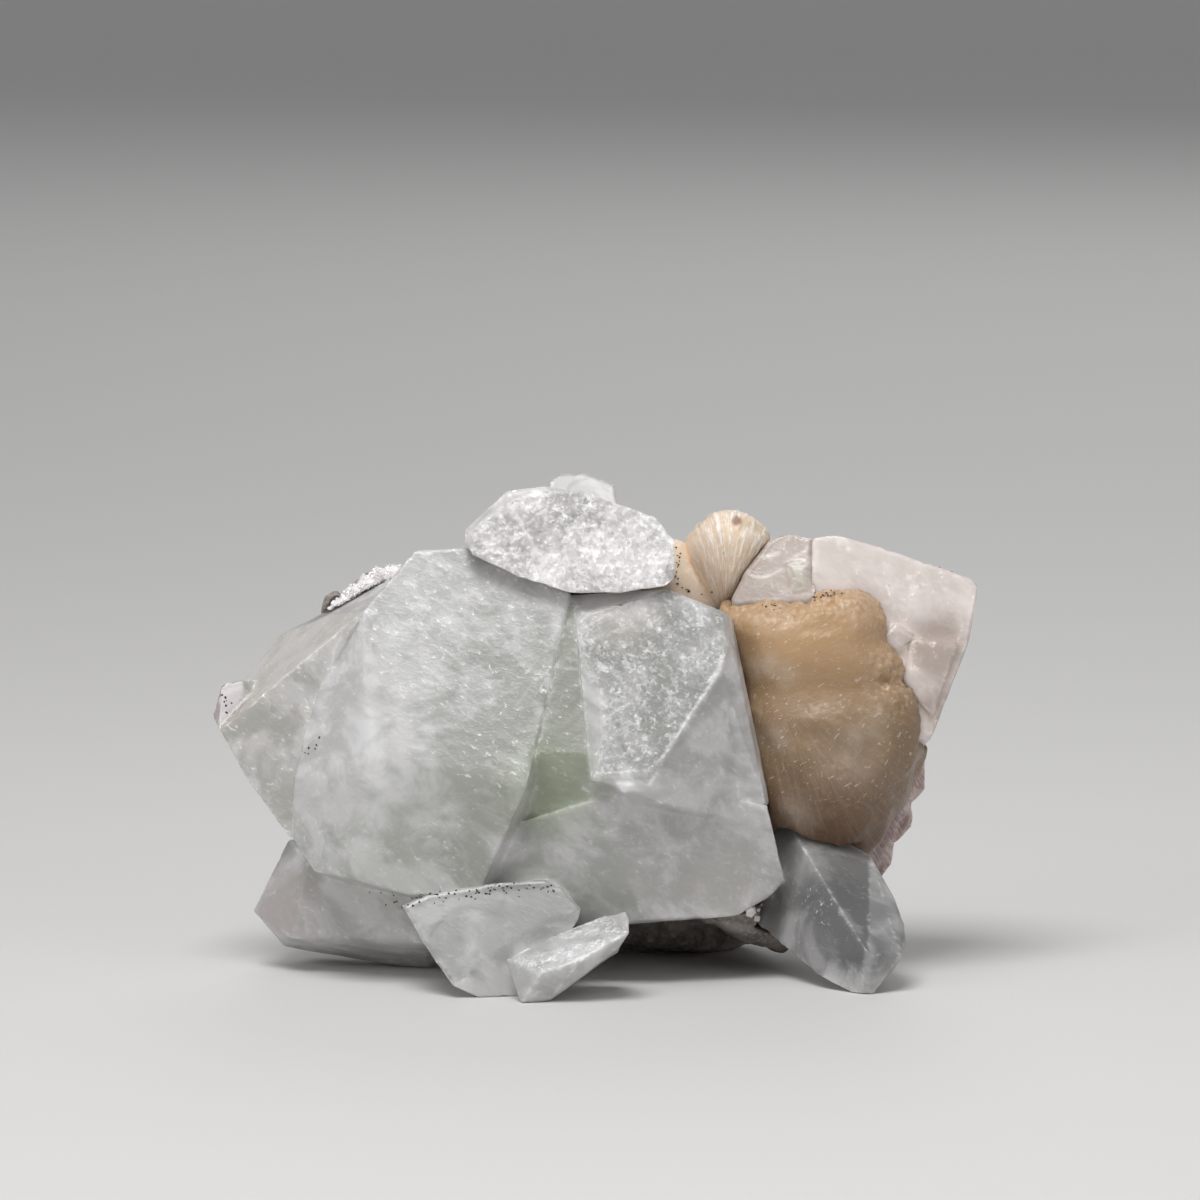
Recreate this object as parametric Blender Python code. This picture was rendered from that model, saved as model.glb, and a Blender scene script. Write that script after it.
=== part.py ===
"""A hand specimen of apophyllite with stilbite, on a scrap of its basalt.

Run with: blender --background --python part.py

Blocky tetragonal apophyllite crystals have grown through each other into one mass. Four more stand
beside it, peach stilbite sheaves fill the gap on the right, and the rock they all grew on shows
behind and underneath.

Corners are given in millimetres as (across, deep, up): across runs to the right, deep runs away from
the front, and up is read square-on from a front view that looks down a little. spot() takes that
tilt out again, so the solids themselves stand upright.
"""

import math

import bmesh
import bpy
from mathutils import Vector, noise

# Driving dimensions, in millimetres unless the name says otherwise
MM = 0.001
VIEW_TILT_DEG = 7.0  # how far the front view looks down
FRONT = -26.0  # the depth at which the foremost crystal meets the table
WIDTH_SHIFT = -0.05  # brings the middle of the width to the origin
DEPTH_SHIFT = -0.65  # brings the middle of the depth to the origin
CONTACT_GAP = 0.35  # the seam left between two pieces that touch
SHARPEST_GROWTH = 3.0  # keeps a grown cutter's needle corners short
ROUNDED_FROM = 60  # a solid with this many facets or more is a rounded one
FLAT_ENOUGH_DEG = 2.0  # neighbouring facets closer than this become one
TABLE_BLOCK = 160.0  # the block that trims the feet level

COLOURS = {
    "apophyllite": (0.80, 0.82, 0.79, 1.0),
    "stilbite": (0.80, 0.62, 0.42, 1.0),
    "basalt": (0.20, 0.16, 0.14, 1.0),
    "druse": (0.86, 0.83, 0.80, 1.0),
}
ROUGHNESS = {"apophyllite": 0.25, "stilbite": 0.45, "basalt": 0.85, "druse": 0.4}


def spot(across, deep, up):
    """The place in space of a corner read from the front view."""
    tilt = math.radians(VIEW_TILT_DEG)
    height = (up - (deep - FRONT) * math.sin(tilt)) / math.cos(tilt)
    return Vector((across + WIDTH_SHIFT, deep + DEPTH_SHIFT, height)) * MM


def on_face(face, *places):
    """Corners for places (across, up), at the depth of the flat face through three corners."""
    a, b, c = (Vector(corner) for corner in face)
    normal = (b - a).cross(c - a)
    found = []
    for across, up in places:
        deep = a.y - (normal.x * (across - a.x) + normal.z * (up - a.z)) / normal.y
        found.append((across, deep, up))
    return found


def empty_scene():
    for thing in list(bpy.data.objects):
        bpy.data.objects.remove(thing)


def collection(name):
    found = bpy.data.collections.new(name)
    bpy.context.scene.collection.children.link(found)
    return found


def material(name):
    made = bpy.data.materials.new(name)
    made.use_nodes = True
    shader = made.node_tree.nodes["Principled BSDF"]
    shader.inputs["Base Color"].default_value = COLOURS[name]
    shader.inputs["Roughness"].default_value = ROUGHNESS[name]
    shader.inputs["Metallic"].default_value = 0.0
    return made


def add_object(name, bm, where, finish=None):
    bmesh.ops.recalc_face_normals(bm, faces=bm.faces)
    mesh = bpy.data.meshes.new(name)
    bm.to_mesh(mesh)
    bm.free()
    made = bpy.data.objects.new(name, mesh)
    where.objects.link(made)
    if finish:
        mesh.materials.append(finish)
    return made


def add_tool(name, bm, cutters, finish=None):
    """A hidden object that only shapes others."""
    tool = add_object(name, bm, cutters, finish)
    tool.hide_render = True
    tool.display_type = "WIRE"
    return tool


def combine(target, tool, operation):
    """Adds or cuts with a tool, by an exact Boolean."""
    step = target.modifiers.new(tool.name, "BOOLEAN")
    step.operation = operation
    step.object = tool


def join_on(target, bodies, cutters):
    """Fuses more bodies, given as {name: bmesh}, to what they grow from."""
    for name, bm in bodies.items():
        combine(target, add_tool(name, bm, cutters, target.active_material), "UNION")


def bodies_of(piece):
    """The simple solids that a piece was fused from."""
    return [piece] + [step.object for step in piece.modifiers if step.operation == "UNION"]


def room_for(body, cutters):
    """A copy of a simple solid, grown all round by the width of a seam."""
    name = f"room_for_{body.name}"
    if name in cutters.objects:
        return cutters.objects[name]
    bm = bmesh.new()
    bm.from_mesh(body.data)
    bm.normal_update()
    sharpest = SHARPEST_GROWTH if len(bm.faces) < ROUNDED_FROM else 1.0
    grown = []
    for vert in bm.verts:
        growth = min(vert.calc_shell_factor(), sharpest) * CONTACT_GAP * MM
        grown.append(vert.co + vert.normal * growth)
    for vert, place in zip(bm.verts, grown):
        vert.co = place
    return add_tool(name, bm, cutters)


def boxes_meet(one, other):
    """Whether two objects' boxes overlap."""
    for axis in range(3):
        low = [min(corner[axis] for corner in thing.bound_box) for thing in (one, other)]
        high = [max(corner[axis] for corner in thing.bound_box) for thing in (one, other)]
        if low[0] > high[1] or low[1] > high[0]:
            return False
    return True


def leave_seam(target, neighbours, cutters):
    """Cuts a piece back so that a thin seam parts it from each neighbour that it touches."""
    own = bodies_of(target)
    bpy.context.view_layer.update()
    for neighbour in neighbours:
        for body in bodies_of(neighbour):
            tool = room_for(body, cutters)
            bpy.context.view_layer.update()
            if any(boxes_meet(tool, mine) for mine in own):
                combine(target, tool, "DIFFERENCE")


def stand_level(target, table):
    """Trims what would reach below the table, which leaves small worn flats on the feet."""
    combine(target, table, "DIFFERENCE")


def faceted(*groups):
    """A flat-sided solid that spans groups of corners."""
    bm = bmesh.new()
    for group in groups:
        for corner in group:
            bm.verts.new(spot(*corner))
    hull = bmesh.ops.convex_hull(bm, input=bm.verts)
    inside = [v for v in hull["geom_interior"] if isinstance(v, bmesh.types.BMVert)]
    bmesh.ops.delete(bm, geom=inside, context="VERTS")
    bmesh.ops.dissolve_limit(
        bm, angle_limit=math.radians(FLAT_ENOUGH_DEG), verts=bm.verts, edges=bm.edges
    )
    return bm


def reach(outline, heart, angle):
    """How far the outline lies from its heart, at an angle in the plane of the front view."""
    way = Vector((math.cos(angle), math.sin(angle)))
    furthest = 0.0
    for first, second in zip(outline, outline[1:] + outline[:1]):
        start = Vector(first) - heart
        side = Vector(second) - Vector(first)
        across = way.x * side.y - way.y * side.x
        if abs(across) < 1e-9:
            continue
        along_way = (start.x * side.y - start.y * side.x) / across
        along_side = (start.x * way.y - start.y * way.x) / across
        if -1e-6 <= along_side <= 1 + 1e-6:
            furthest = max(furthest, along_way)
    return furthest


def domed(outline, heart, deep, swell, detail=4, relief=None):
    """A rounded body with a given outline from the front, made from a sphere.

    heart is the (across, up) that the sphere's centre goes to, deep is its depth, and swell is how far it
    bulges to the front and to the back. relief moves a point out by a height in millimetres.
    """
    heart = Vector(heart)
    bm = bmesh.new()
    bmesh.ops.create_icosphere(bm, subdivisions=detail, radius=1.0)
    front, back = swell
    for vert in bm.verts:
        ball = vert.co.copy()
        angle = math.atan2(ball.z, ball.x)
        flat = math.hypot(ball.x, ball.z)
        far = reach(outline, heart, angle) * flat ** 0.85
        bulge = front if ball.y < 0 else back
        across = heart.x + far * math.cos(angle)
        up = heart.y + far * math.sin(angle)
        place = Vector((across, deep + ball.y * bulge, up))
        if relief:
            place += ball * relief(place)
        vert.co = spot(*place)
    return bm


# The main mass: crystals that have grown through each other


def left_block():
    """The largest crystal: a broad face to the front and a turned one on its left."""
    broad = [(-3.1, -6, 49.25), (-13.75, -21, 16), (-29, -5, 48.9)]
    crown_edge = on_face(broad, (-29, 49), (-24.25, 54), (-22.5, 56.75), (-16.4, 57.1))
    crown_edge += on_face(broad, (-9.4, 54.8), (-3.1, 51.4))
    left_heart, right_heart = on_face(broad, (-26.75, 28.1), (-8.5, 27))
    left_corner = (-37.75, -6, 27.9)
    low_corner = (-30.4, -13, 15.4)
    turned_face = [left_heart, crown_edge[0], left_corner]
    turned = on_face(turned_face, (-36.75, 32.9), (-34.6, 39.5), (-31.1, 45.4))
    under_left = on_face([left_heart, left_corner, low_corner], (-38.3, 20.5), (-35.25, 16.1))
    under_face = [left_heart, right_heart, low_corner]
    under_right = on_face(under_face, (-13.75, 16), (-14.5, 13.6), (-23, 13.2))
    back = [
        (-27, 16, 50),
        (-21, 16, 54),
        (-12, 16, 53),
        (-1, 12, 47),
        (4, 12, 35),
        (1, 12, 20),
        (-14, 10, 11),
        (-30, 8, 13),
        (-36, 8, 18),
        (-36, 8, 30),
        (-33, 10, 42),
    ]
    hearts = [left_heart, right_heart, left_corner, low_corner]
    return faceted(crown_edge, hearts, turned, under_left, under_right, back)


def left_wing():
    """The crystal that leans out on the left, with one long ridge down its front."""
    ridge = [(-47.5, 3, 33.75), (-29, 2, 49.1)]
    lower_face = ridge + [(-38.5, -1, 20.1)]
    lower = on_face(lower_face, (-45.5, 30.4), (-44, 27.5), (-39.75, 22.25), (-38.5, 20.1))
    upper = on_face(ridge + [(-34.4, 12, 48.25)], (-44.6, 40.25), (-40.1, 46), (-34.4, 48.25))
    top = [(-25, 12, 53.5)]
    back = [(-46, 14, 35), (-36, 20, 44), (-25, 20, 48), (-42, 12, 27), (-34, 14, 20), (-28, 4, 24)]
    return faceted(ridge, lower, upper, top, back)


def left_wing_tip():
    """A small parallel crystal that ends the wing."""
    front = [(-47.4, 7, 39.7), (-48.6, 5, 35.6), (-47.7, 3.5, 33.75), (-44.6, 7.5, 40.4), (-43, 5, 36)]
    back = [(-46, 12, 36), (-42, 12, 40)]
    return faceted(front, back)


def left_foot():
    """The crystal that points down to the left and carries that side."""
    face = [(-36.4, -3, 17), (-38.3, -2, 7.5), (-22, -7, 12)]
    front = on_face(face, (-36.4, 17), (-38.3, 7.5), (-21, 7), (-30, 18), (-16, 16))
    outline = [(-38.8, 3, 20), (-43.3, 3, 10.75), (-39.5, 4, 6.2), (-32.25, 4.5, 6.3), (-27.25, 4.5, 4.7)]
    toe = [(-22.6, 4, 3.2), (-21.2, 3, 3.3), (-19.2, 1, 5)]
    back = [(-41, 12, 12), (-36, 12, 17), (-22, 11, 7), (-36, 13, 6), (-16, 10, 16)]
    return faceted(front, outline, toe, back)


def centre_block():
    """The crystal in the middle: its basal face looks forward, with a pyramid face on the right."""
    basal = [(-1.25, -7, 48.6), (16.4, -6, 48.9), (-0.4, -16, 27.75)]
    plate = on_face(basal, (-1.25, 48.6), (9.25, 51.75), (16.4, 48.9))
    plate += on_face(basal, (-2.1, 47.4), (-0.4, 27.75), (16.1, 40.9))
    high, low = on_face(basal, (17, 44.25), (8.1, 29))
    pyramid_face = [high, low, (21.9, -7, 24.5)]
    pyramid = on_face(pyramid_face, (5.75, 25.4), (18.75, 22.5), (21.7, 24.5), (20.1, 32.75), (18.1, 42))
    edge = [(17.4, -4, 48.4), (22.2, -5, 24.5), (-3, -3, 51)]
    back = [(18.5, 8, 46), (22.5, 8, 26), (0, 8, 49), (0, 8, 24), (9, 8, 50)]
    return faceted(plate, [high, low], pyramid, edge, back)


def window_block():
    """The greenish crystal seen deep between the left block and the middle one."""
    brow = [(-3.2, -5.5, 49), (-7.3, -13.9, 31), (0.2, -13.9, 31)]
    upper = on_face(brow, (-3.2, 50), (-1.2, 50), (2, 35), (2.5, 31), (-7.3, 31))
    lower = [(-9.6, -11.6, 22), (2.5, -13.2, 24)]
    back = [(-4, 4, 47), (0, 4, 47), (-6, 4, 27), (0, 4, 27)]
    return faceted(upper, lower, back)


def lower_block():
    """The broad crystal under the middle one."""
    right_face = [(18.75, -9.1, 22.5), (24, -7.5, 14.75), (6.4, -13, 10.1)]
    left_face = [(0.75, -14.7, 25.4), (-10.75, -12.5, 22), (6.4, -13, 10.1)]
    right = on_face(right_face, (6, 27), (21.9, 24.5), (24.2, 14.75))
    right += on_face(right_face, (22.1, 12.75), (18.1, 10.4), (6.4, 10.1))
    left = on_face(left_face, (0.75, 25.4), (-3, 23.5), (-10.75, 22), (-13.75, 15.5), (-2, 9))
    back = [(-8, 8, 20), (22, 8, 22), (24, 6, 15), (-8, 8, 12), (8, 8, 11), (20, 8, 12)]
    return faceted(right, left, back)


def front_foot():
    """The low crystal at the front, on which the cluster leans."""
    high_face = [(-24.1, -17, 12.1), (-3, -17, 12.5), (-17.75, -22.5, 2)]
    top = on_face(high_face, (-24.1, 12.1), (-21, 13.4), (-12, 14.9))
    top += on_face(high_face, (-6, 15.25), (-3.6, 13.9), (-1.6, 11.6))
    side = on_face(high_face, (-21.25, 7.1), (-19.6, 4.6), (-17.75, 2))
    low_face = [top[-1], side[-1], (-9.25, -20.5, 0.4)]
    toe = on_face(low_face, (-14, 0.9), (-12.9, -0.3), (-11, -0.4), (-9.25, 0.2), (-2, 9.75))
    back = [(-22, -6, 11), (-4, -6, 14), (-12, -6, 5), (-18, -6, 6)]
    return faceted(top, side, toe, back)


def front_chip():
    """The small bright crystal in front, which shows its basal face."""
    basal = [(-11, -22.5, 5.4), (4, -20, 11.4), (-6.6, -27, 3.6)]
    plate = on_face(basal, (-11, 5.4), (-6, 7.9), (-2.25, 9.25))
    plate += on_face(basal, (1.6, 10.9), (4, 11.4), (4.5, 10.4))
    lip = on_face(basal, (-6.6, 3.6), (-1.75, 5.1), (3.25, 7.6))
    under_face = [lip[0], lip[-1], (-6, -25, 0)]
    below = on_face(under_face, (4.4, 8.75), (3.25, 7), (-3.4, 2.6), (-6, -0.2), (-9.1, -0.2))
    back = [(-8, -14, 5), (2, -14, 9), (3, -14, 6), (-6, -14, 4)]
    return faceted(plate, lip, below, back)


def right_foot():
    """The clear crystal that points down to the right, with a sharp ridge along it."""
    left_face = [(26.1, -5, 17.25), (34.4, -20, 5.9), (22.6, -5, 7.75)]
    ridge = on_face(left_face, (23.25, 24.5), (26.1, 17.25), (34.4, 5.9))
    left = on_face(left_face, (19.75, 10.1), (22.6, 7.75), (25.75, 5.75), (28.5, 3))
    top_face = [(26.1, -5, 17.25), (34.4, -20, 5.9), (38.6, -17, 5.9)]
    top = on_face(top_face, (33.25, 12.6), (36.75, 8.4), (38.6, 5.9))
    right = [(26.3, 1, 22), (31.3, 1, 20.1), (35.1, -2, 18)]
    right += [(38.1, -7, 12.6), (39.2, -10, 9.4), (39.45, -12, 7.4)]
    toe = [(38.7, -15, 5.1), (34.8, -19, 0.5), (33.4, -18.7, 0.5)]
    back = [(24, 8, 19), (35, 6, 14), (37, 2, 9), (30, 2, 7), (22, 8, 11)]
    return faceted(ridge, left, top, right, toe, back)


# Crystals that stand on their own beside the main mass


def crown():
    """The bright crystal on top, which shows its basal face to the front."""
    basal = [(-3, -7.5, 51.25), (10.1, -7, 53.1), (-6.25, -2.2, 64.6)]
    lower = on_face(basal, (-15.4, 56.1), (-9.4, 53.25), (-3, 51.25))
    lower += on_face(basal, (3.1, 51.25), (9.1, 52.1), (10.2, 53.1))
    upper = on_face(basal, (10.2, 57.75), (7.75, 60.9), (2.9, 62.7), (-0.9, 64))
    upper += on_face(basal, (-5.8, 64.1), (-10.2, 63), (-15.2, 59.1))
    bevel = [(-6.25, -1, 64.8), (-11, -1.5, 64.2), (-16.4, -3, 59.25), (-16.4, -3.5, 57.5)]
    back = [(-13, 12, 56), (-14, 12, 58), (-9, 12, 61.5), (-1, 12, 61.5)]
    back += [(6, 12, 59), (8, 12, 54), (-2, 12, 52)]
    return faceted(lower, upper, bevel, back)


def rear_peak():
    """The blunt crystal that looks over the crown from behind."""
    face = [(-6, 6, 64), (2.9, 6, 63.2), (-1.1, 8, 66.5)]
    front = on_face(face, (-6.1, 64), (-5.3, 65.8), (-4.5, 66.4))
    front += on_face(face, (-1.1, 66.5), (0, 66.1), (2.6, 65), (2.9, 63.2))
    low = on_face(face, (-7, 58), (3.5, 58))
    back = [(-6, 20, 60), (3, 20, 60), (-4, 18, 63.5), (1.5, 18, 63.5), (-7, 18, 54), (4, 18, 54)]
    return faceted(front, low, back)


def right_peak():
    """The large pale crystal at the back on the right, with one sharp corner."""
    face = [(28, 2, 58), (48.3, 5, 52.6), (42.6, 0, 33)]
    top = on_face(face, (28, 58), (29.6, 58.5), (31.6, 58.3))
    top += on_face(face, (35.8, 57.1), (41.1, 55.1), (48.3, 52.8))
    side = on_face(face, (48.7, 52.2), (47.3, 45), (44.1, 36.6), (42.6, 33), (27, 30))
    back = [(28, 18, 54), (41, 18, 50), (47, 14, 47), (44, 14, 38), (38, 16, 27), (26, 18, 28)]
    return faceted(top, side, back)


def right_peak_growths():
    """Parallel growths that stand a little proud of the large pale crystal."""
    face = [(28, 1.2, 58), (48.3, 4.2, 52.6), (42.6, -0.8, 33)]
    wedge = on_face(face, (40.6, 45), (46, 44.75), (42.9, 35.8), (39.5, 40.25))
    block = on_face(face, (38.4, 47.1), (40.5, 45.9), (38.4, 44), (36.5, 45.2))
    return {
        "right_peak_wedge": faceted(wedge, [(38, 8, 46), (46, 8, 46), (42, 8, 36)]),
        "right_peak_block": faceted(block, [(36, 6, 47), (40, 6, 46), (38, 6, 43)]),
    }


def right_neighbour():
    """The greenish crystal between the fan and the large pale one."""
    face = [(22.6, 4, 57.9), (27.9, 3, 57.75), (22, 0, 49)]
    front = on_face(face, (22.6, 57.9), (24, 58.5), (25, 58.6), (27.9, 57.9))
    front += on_face(face, (27.9, 50), (17.5, 50), (19.5, 54))
    back = [(19, 14, 52), (24, 14, 55), (30, 14, 54), (30, 4, 44), (20, 4, 44), (22, 14, 44)]
    return faceted(front, back)


# The stilbite sheaves


def ribbed(waist, count, height, seed):
    """Relief for a sheaf: fine ribs that fan out from its waist, uneven in height."""

    def relief(place):
        angle = math.atan2(place.z - waist[1], place.x - waist[0])
        wander = noise.noise(Vector((place.x * 0.25, place.y * 0.25, place.z * 0.25 + seed)))
        rib = noise.noise(Vector((angle * count, place.y * 0.35, seed)))
        return height * (rib + 0.6 * wander)

    return relief


def bow_tie_upper():
    outline = [
        (16.6, 49.2),
        (20, 50.3),
        (26.4, 50.9),
        (30.5, 52.4),
        (34.2, 51.8),
        (37.2, 49.3),
        (37.7, 45),
        (39.8, 42.6),
        (39.6, 40),
        (36, 36),
        (28, 35),
        (20, 37),
        (16.5, 42),
    ]
    return domed(outline, (28, 43.5), 4, (9.5, 4), relief=ribbed((16, 43), 14, 0.9, 2.0))


def bow_tie_lower():
    outline = [
        (17.5, 39),
        (22, 42),
        (30, 42),
        (38, 41.5),
        (41, 39),
        (42.5, 34.5),
        (42.2, 31),
        (40, 26),
        (36.4, 19.6),
        (33, 16.5),
        (27, 16.5),
        (21.5, 20),
        (19, 28),
    ]
    return domed(outline, (30.5, 31), 4, (11, 4), relief=ribbed((17, 40), 14, 0.9, 7.0))


def fan_right():
    outline = [
        (12, 57.25),
        (13.4, 59.6),
        (16, 61.4),
        (17.9, 61.8),
        (19.6, 60.9),
        (21.1, 60.2),
        (22.7, 58.2),
        (20.8, 55.8),
        (18.2, 51.3),
        (16.5, 48.5),
        (14.5, 50.5),
        (12.6, 54),
    ]
    return domed(outline, (17.3, 56.5), 6, (4, 4.5), detail=3, relief=ribbed((16.5, 49), 9, 0.5, 4.0))


def fan_left():
    outline = [(7, 58.6), (10.3, 58), (12.2, 57.3), (15.5, 54), (16.5, 48.5), (12, 46), (6, 49)]
    return domed(outline, (11, 53), 6.5, (3, 4), detail=3, relief=ribbed((16.5, 49), 7, 0.4, 9.0))


# The rock and its crusts


def craggy(height, size, seed):
    """Relief for broken rock: lumps of a given size."""

    def relief(place):
        lump = noise.noise(place / size + Vector((seed, 0, 0)))
        grit = noise.noise(place / (size * 0.35) + Vector((0, seed, 0)))
        return height * (lump + 0.45 * grit)

    return relief


def rock_plate():
    """The slab of rock that the crystals are rooted in."""
    outline = [
        (-36, 44),
        (-31, 50),
        (-22, 50),
        (-12, 55),
        (6, 54),
        (16, 50),
        (30, 51),
        (38, 41),
        (36, 24),
        (27, 13),
        (12, 7),
        (-20, 8),
        (-33, 17),
    ]
    return domed(outline, (0, 31), 17, (8, 9), relief=craggy(4.2, 13, 1.0))


def rock_lumps():
    """What shows of the rock in front and below, and the foot that it rests on behind."""
    keel = [(4.5, 8.9), (9.6, 9.8), (14.7, 9.4), (18.6, 6.6), (24, 5.5), (27, 8), (26, 14), (6, 15)]
    heel = [(-20, 20), (0, 24), (24, 20), (25, 10), (18, 4.5), (-8, 4.5), (-18, 9)]
    knob = [(-35, 48), (-34.8, 51), (-33.6, 52.2), (-32, 51), (-31, 48)]
    ridge = [(-33, 49), (-31.4, 52.3), (-29.4, 53.9), (-27, 54.2), (-24, 52), (-26, 47)]
    return {
        "rock_keel": domed(keel, (16, 10.5), 3, (7, 14), detail=3, relief=craggy(1.2, 4, 3.0)),
        "rock_heel": domed(heel, (2, 13), 18, (10, 9.5), detail=3, relief=craggy(1.6, 6, 5.0)),
        "rock_knob": domed(knob, (-33.2, 49.5), 16, (2.4, 6), detail=2, relief=craggy(0.4, 2, 7.0)),
        "rock_ridge": domed(ridge, (-28.5, 51), 17, (2.6, 7), detail=2, relief=craggy(0.5, 2, 9.0)),
    }


def small_lump(across, deep, up, size, seed):
    """One rounded cluster of tiny crystals."""
    bm = bmesh.new()
    bmesh.ops.create_icosphere(bm, subdivisions=2, radius=size * MM)
    for vert in bm.verts:
        vert.co *= 1 + 0.25 * noise.noise(vert.co / (size * MM) * 1.4 + Vector((seed, 0, 0)))
        vert.co += spot(across, deep, up)
    return bm


def white_druse():
    """The pale crust along the rock behind the left wing, as a row of lumps."""
    return {
        "druse_lump_1": small_lump(-33.4, 13.6, 47.9, 1.5, 1.0),
        "druse_lump_2": small_lump(-32.1, 13.8, 49.4, 1.6, 2.0),
        "druse_lump_3": small_lump(-30.6, 14.0, 50.9, 1.6, 3.0),
        "druse_lump_4": small_lump(-28.9, 14.2, 52.0, 1.6, 4.0),
        "druse_lump_5": small_lump(-27.2, 14.4, 53.0, 1.7, 5.0),
        "druse_lump_6": small_lump(-25.4, 14.4, 53.4, 1.6, 6.0),
        "druse_lump_7": small_lump(-23.9, 14.2, 52.8, 1.5, 7.0),
    }


def pink_crystals():
    """Blades of a pink crust that look out from behind the bow tie on the right."""
    high = [(41.3, 9, 34), (42.25, 9.5, 32), (42.25, 10, 26.3)]
    high += [(40.7, 10, 24.5), (36, 9.2, 26), (36, 9, 33)]
    middle = [(40.5, 9, 26.8), (40.5, 9.4, 21.4), (38.6, 9.6, 19.6), (34, 9.1, 22), (35, 8.9, 27.3)]
    low = [(38.5, 9.2, 21.5), (38.3, 9.5, 19.6), (38, 9.7, 16.6)]
    low += [(36.7, 9.3, 15.1), (32, 8.8, 18), (33, 9, 22.3)]
    return {
        "pink_blade_high": faceted(high, [(34, 16, 34), (33, 17, 24), (40, 15, 28)]),
        "pink_blade_middle": faceted(middle, [(32, 15, 28), (36, 16, 19), (38, 15, 24)]),
        "pink_blade_low": faceted(low, [(31, 14, 21), (34, 15, 15), (36.5, 14, 18)]),
    }


def main():
    empty_scene()
    shown = collection("apophyllite_cluster")
    cutters = collection("cutters")
    finishes = {name: material(name) for name in COLOURS}
    apophyllite = finishes["apophyllite"]

    bm = bmesh.new()
    bmesh.ops.create_cube(bm, size=TABLE_BLOCK * MM)
    table = add_tool("table", bm, cutters)
    table.location.z = -TABLE_BLOCK * MM / 2

    mass = add_object("apophyllite_main_mass", left_block(), shown, apophyllite)
    grown_in = {
        "left_wing": left_wing(),
        "left_wing_tip": left_wing_tip(),
        "left_foot": left_foot(),
        "centre_block": centre_block(),
        "window_block": window_block(),
        "lower_block": lower_block(),
        "front_foot": front_foot(),
        "front_chip": front_chip(),
        "right_foot": right_foot(),
    }
    join_on(mass, grown_in, cutters)
    stand_level(mass, table)

    crown_crystal = add_object("apophyllite_crown", crown(), shown, apophyllite)
    leave_seam(crown_crystal, [mass], cutters)
    rear = add_object("apophyllite_rear_peak", rear_peak(), shown, apophyllite)
    leave_seam(rear, [mass, crown_crystal], cutters)
    right = add_object("apophyllite_right_peak", right_peak(), shown, apophyllite)
    join_on(right, right_peak_growths(), cutters)
    leave_seam(right, [mass], cutters)
    neighbour = add_object("apophyllite_right_neighbour", right_neighbour(), shown, apophyllite)
    leave_seam(neighbour, [mass, right], cutters)

    bow_tie = add_object("stilbite_bow_tie", bow_tie_lower(), shown, finishes["stilbite"])
    join_on(bow_tie, {"bow_tie_upper": bow_tie_upper()}, cutters)
    leave_seam(bow_tie, [mass, right, neighbour], cutters)
    fan = add_object("stilbite_fan", fan_right(), shown, finishes["stilbite"])
    join_on(fan, {"fan_left": fan_left()}, cutters)
    leave_seam(fan, [mass, crown_crystal, neighbour, bow_tie], cutters)

    blades = pink_crystals()
    pink = add_object("pink_crystals", blades.pop("pink_blade_high"), shown, finishes["druse"])
    join_on(pink, blades, cutters)
    leave_seam(pink, [mass, right, bow_tie], cutters)
    lumps = white_druse()
    druse = add_object("white_druse", lumps.pop("druse_lump_1"), shown, finishes["druse"])
    join_on(druse, lumps, cutters)
    leave_seam(druse, [mass], cutters)

    rock = add_object("basalt_matrix", rock_plate(), shown, finishes["basalt"])
    join_on(rock, rock_lumps(), cutters)
    touching = [mass, crown_crystal, rear, right, neighbour, bow_tie, fan, pink, druse]
    leave_seam(rock, touching, cutters)
    stand_level(rock, table)


main()
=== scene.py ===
# %% [markdown]
# # An apophyllite cluster with stilbite
#
# This scene finishes a mineral hand specimen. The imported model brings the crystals, the sheaves and
# the rock at their real size and place. Here each of them gets the fine surface that a step closer
# would show: growth steps and pits on the crystal faces, ribs on the sheaves, tiny crystals on the
# crusts, and materials for milky crystal, silky stilbite and dull rock.

# %% Load the frame
import math
import random

import bmesh
import bpy
import numpy as np
from mathutils import Euler, Matrix, Vector, kdtree, noise
from mathutils.bvhtree import BVHTree


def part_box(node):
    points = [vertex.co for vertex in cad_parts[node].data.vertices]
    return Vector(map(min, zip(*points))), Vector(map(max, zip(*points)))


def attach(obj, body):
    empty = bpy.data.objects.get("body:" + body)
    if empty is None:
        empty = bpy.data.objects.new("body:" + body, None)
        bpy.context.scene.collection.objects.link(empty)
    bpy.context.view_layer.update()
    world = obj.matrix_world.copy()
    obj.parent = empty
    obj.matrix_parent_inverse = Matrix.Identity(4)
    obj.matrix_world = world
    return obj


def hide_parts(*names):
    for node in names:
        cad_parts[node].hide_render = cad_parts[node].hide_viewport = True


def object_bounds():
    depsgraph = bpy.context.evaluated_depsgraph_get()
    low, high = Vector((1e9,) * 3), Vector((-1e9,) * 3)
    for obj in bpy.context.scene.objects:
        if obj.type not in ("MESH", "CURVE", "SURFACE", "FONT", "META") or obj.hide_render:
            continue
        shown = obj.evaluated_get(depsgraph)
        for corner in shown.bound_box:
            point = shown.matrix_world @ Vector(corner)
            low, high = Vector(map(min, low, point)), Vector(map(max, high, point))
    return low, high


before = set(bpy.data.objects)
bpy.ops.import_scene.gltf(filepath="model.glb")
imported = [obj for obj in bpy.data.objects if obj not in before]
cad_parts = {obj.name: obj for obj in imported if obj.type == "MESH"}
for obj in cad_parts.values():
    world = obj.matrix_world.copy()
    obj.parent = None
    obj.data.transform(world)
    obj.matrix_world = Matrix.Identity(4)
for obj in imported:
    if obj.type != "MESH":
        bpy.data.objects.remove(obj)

MM = 0.001
cad_low, cad_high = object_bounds()
print("frame:", len(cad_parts), "solids, box in mm", [round(v / MM, 1) for v in cad_high - cad_low])

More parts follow.
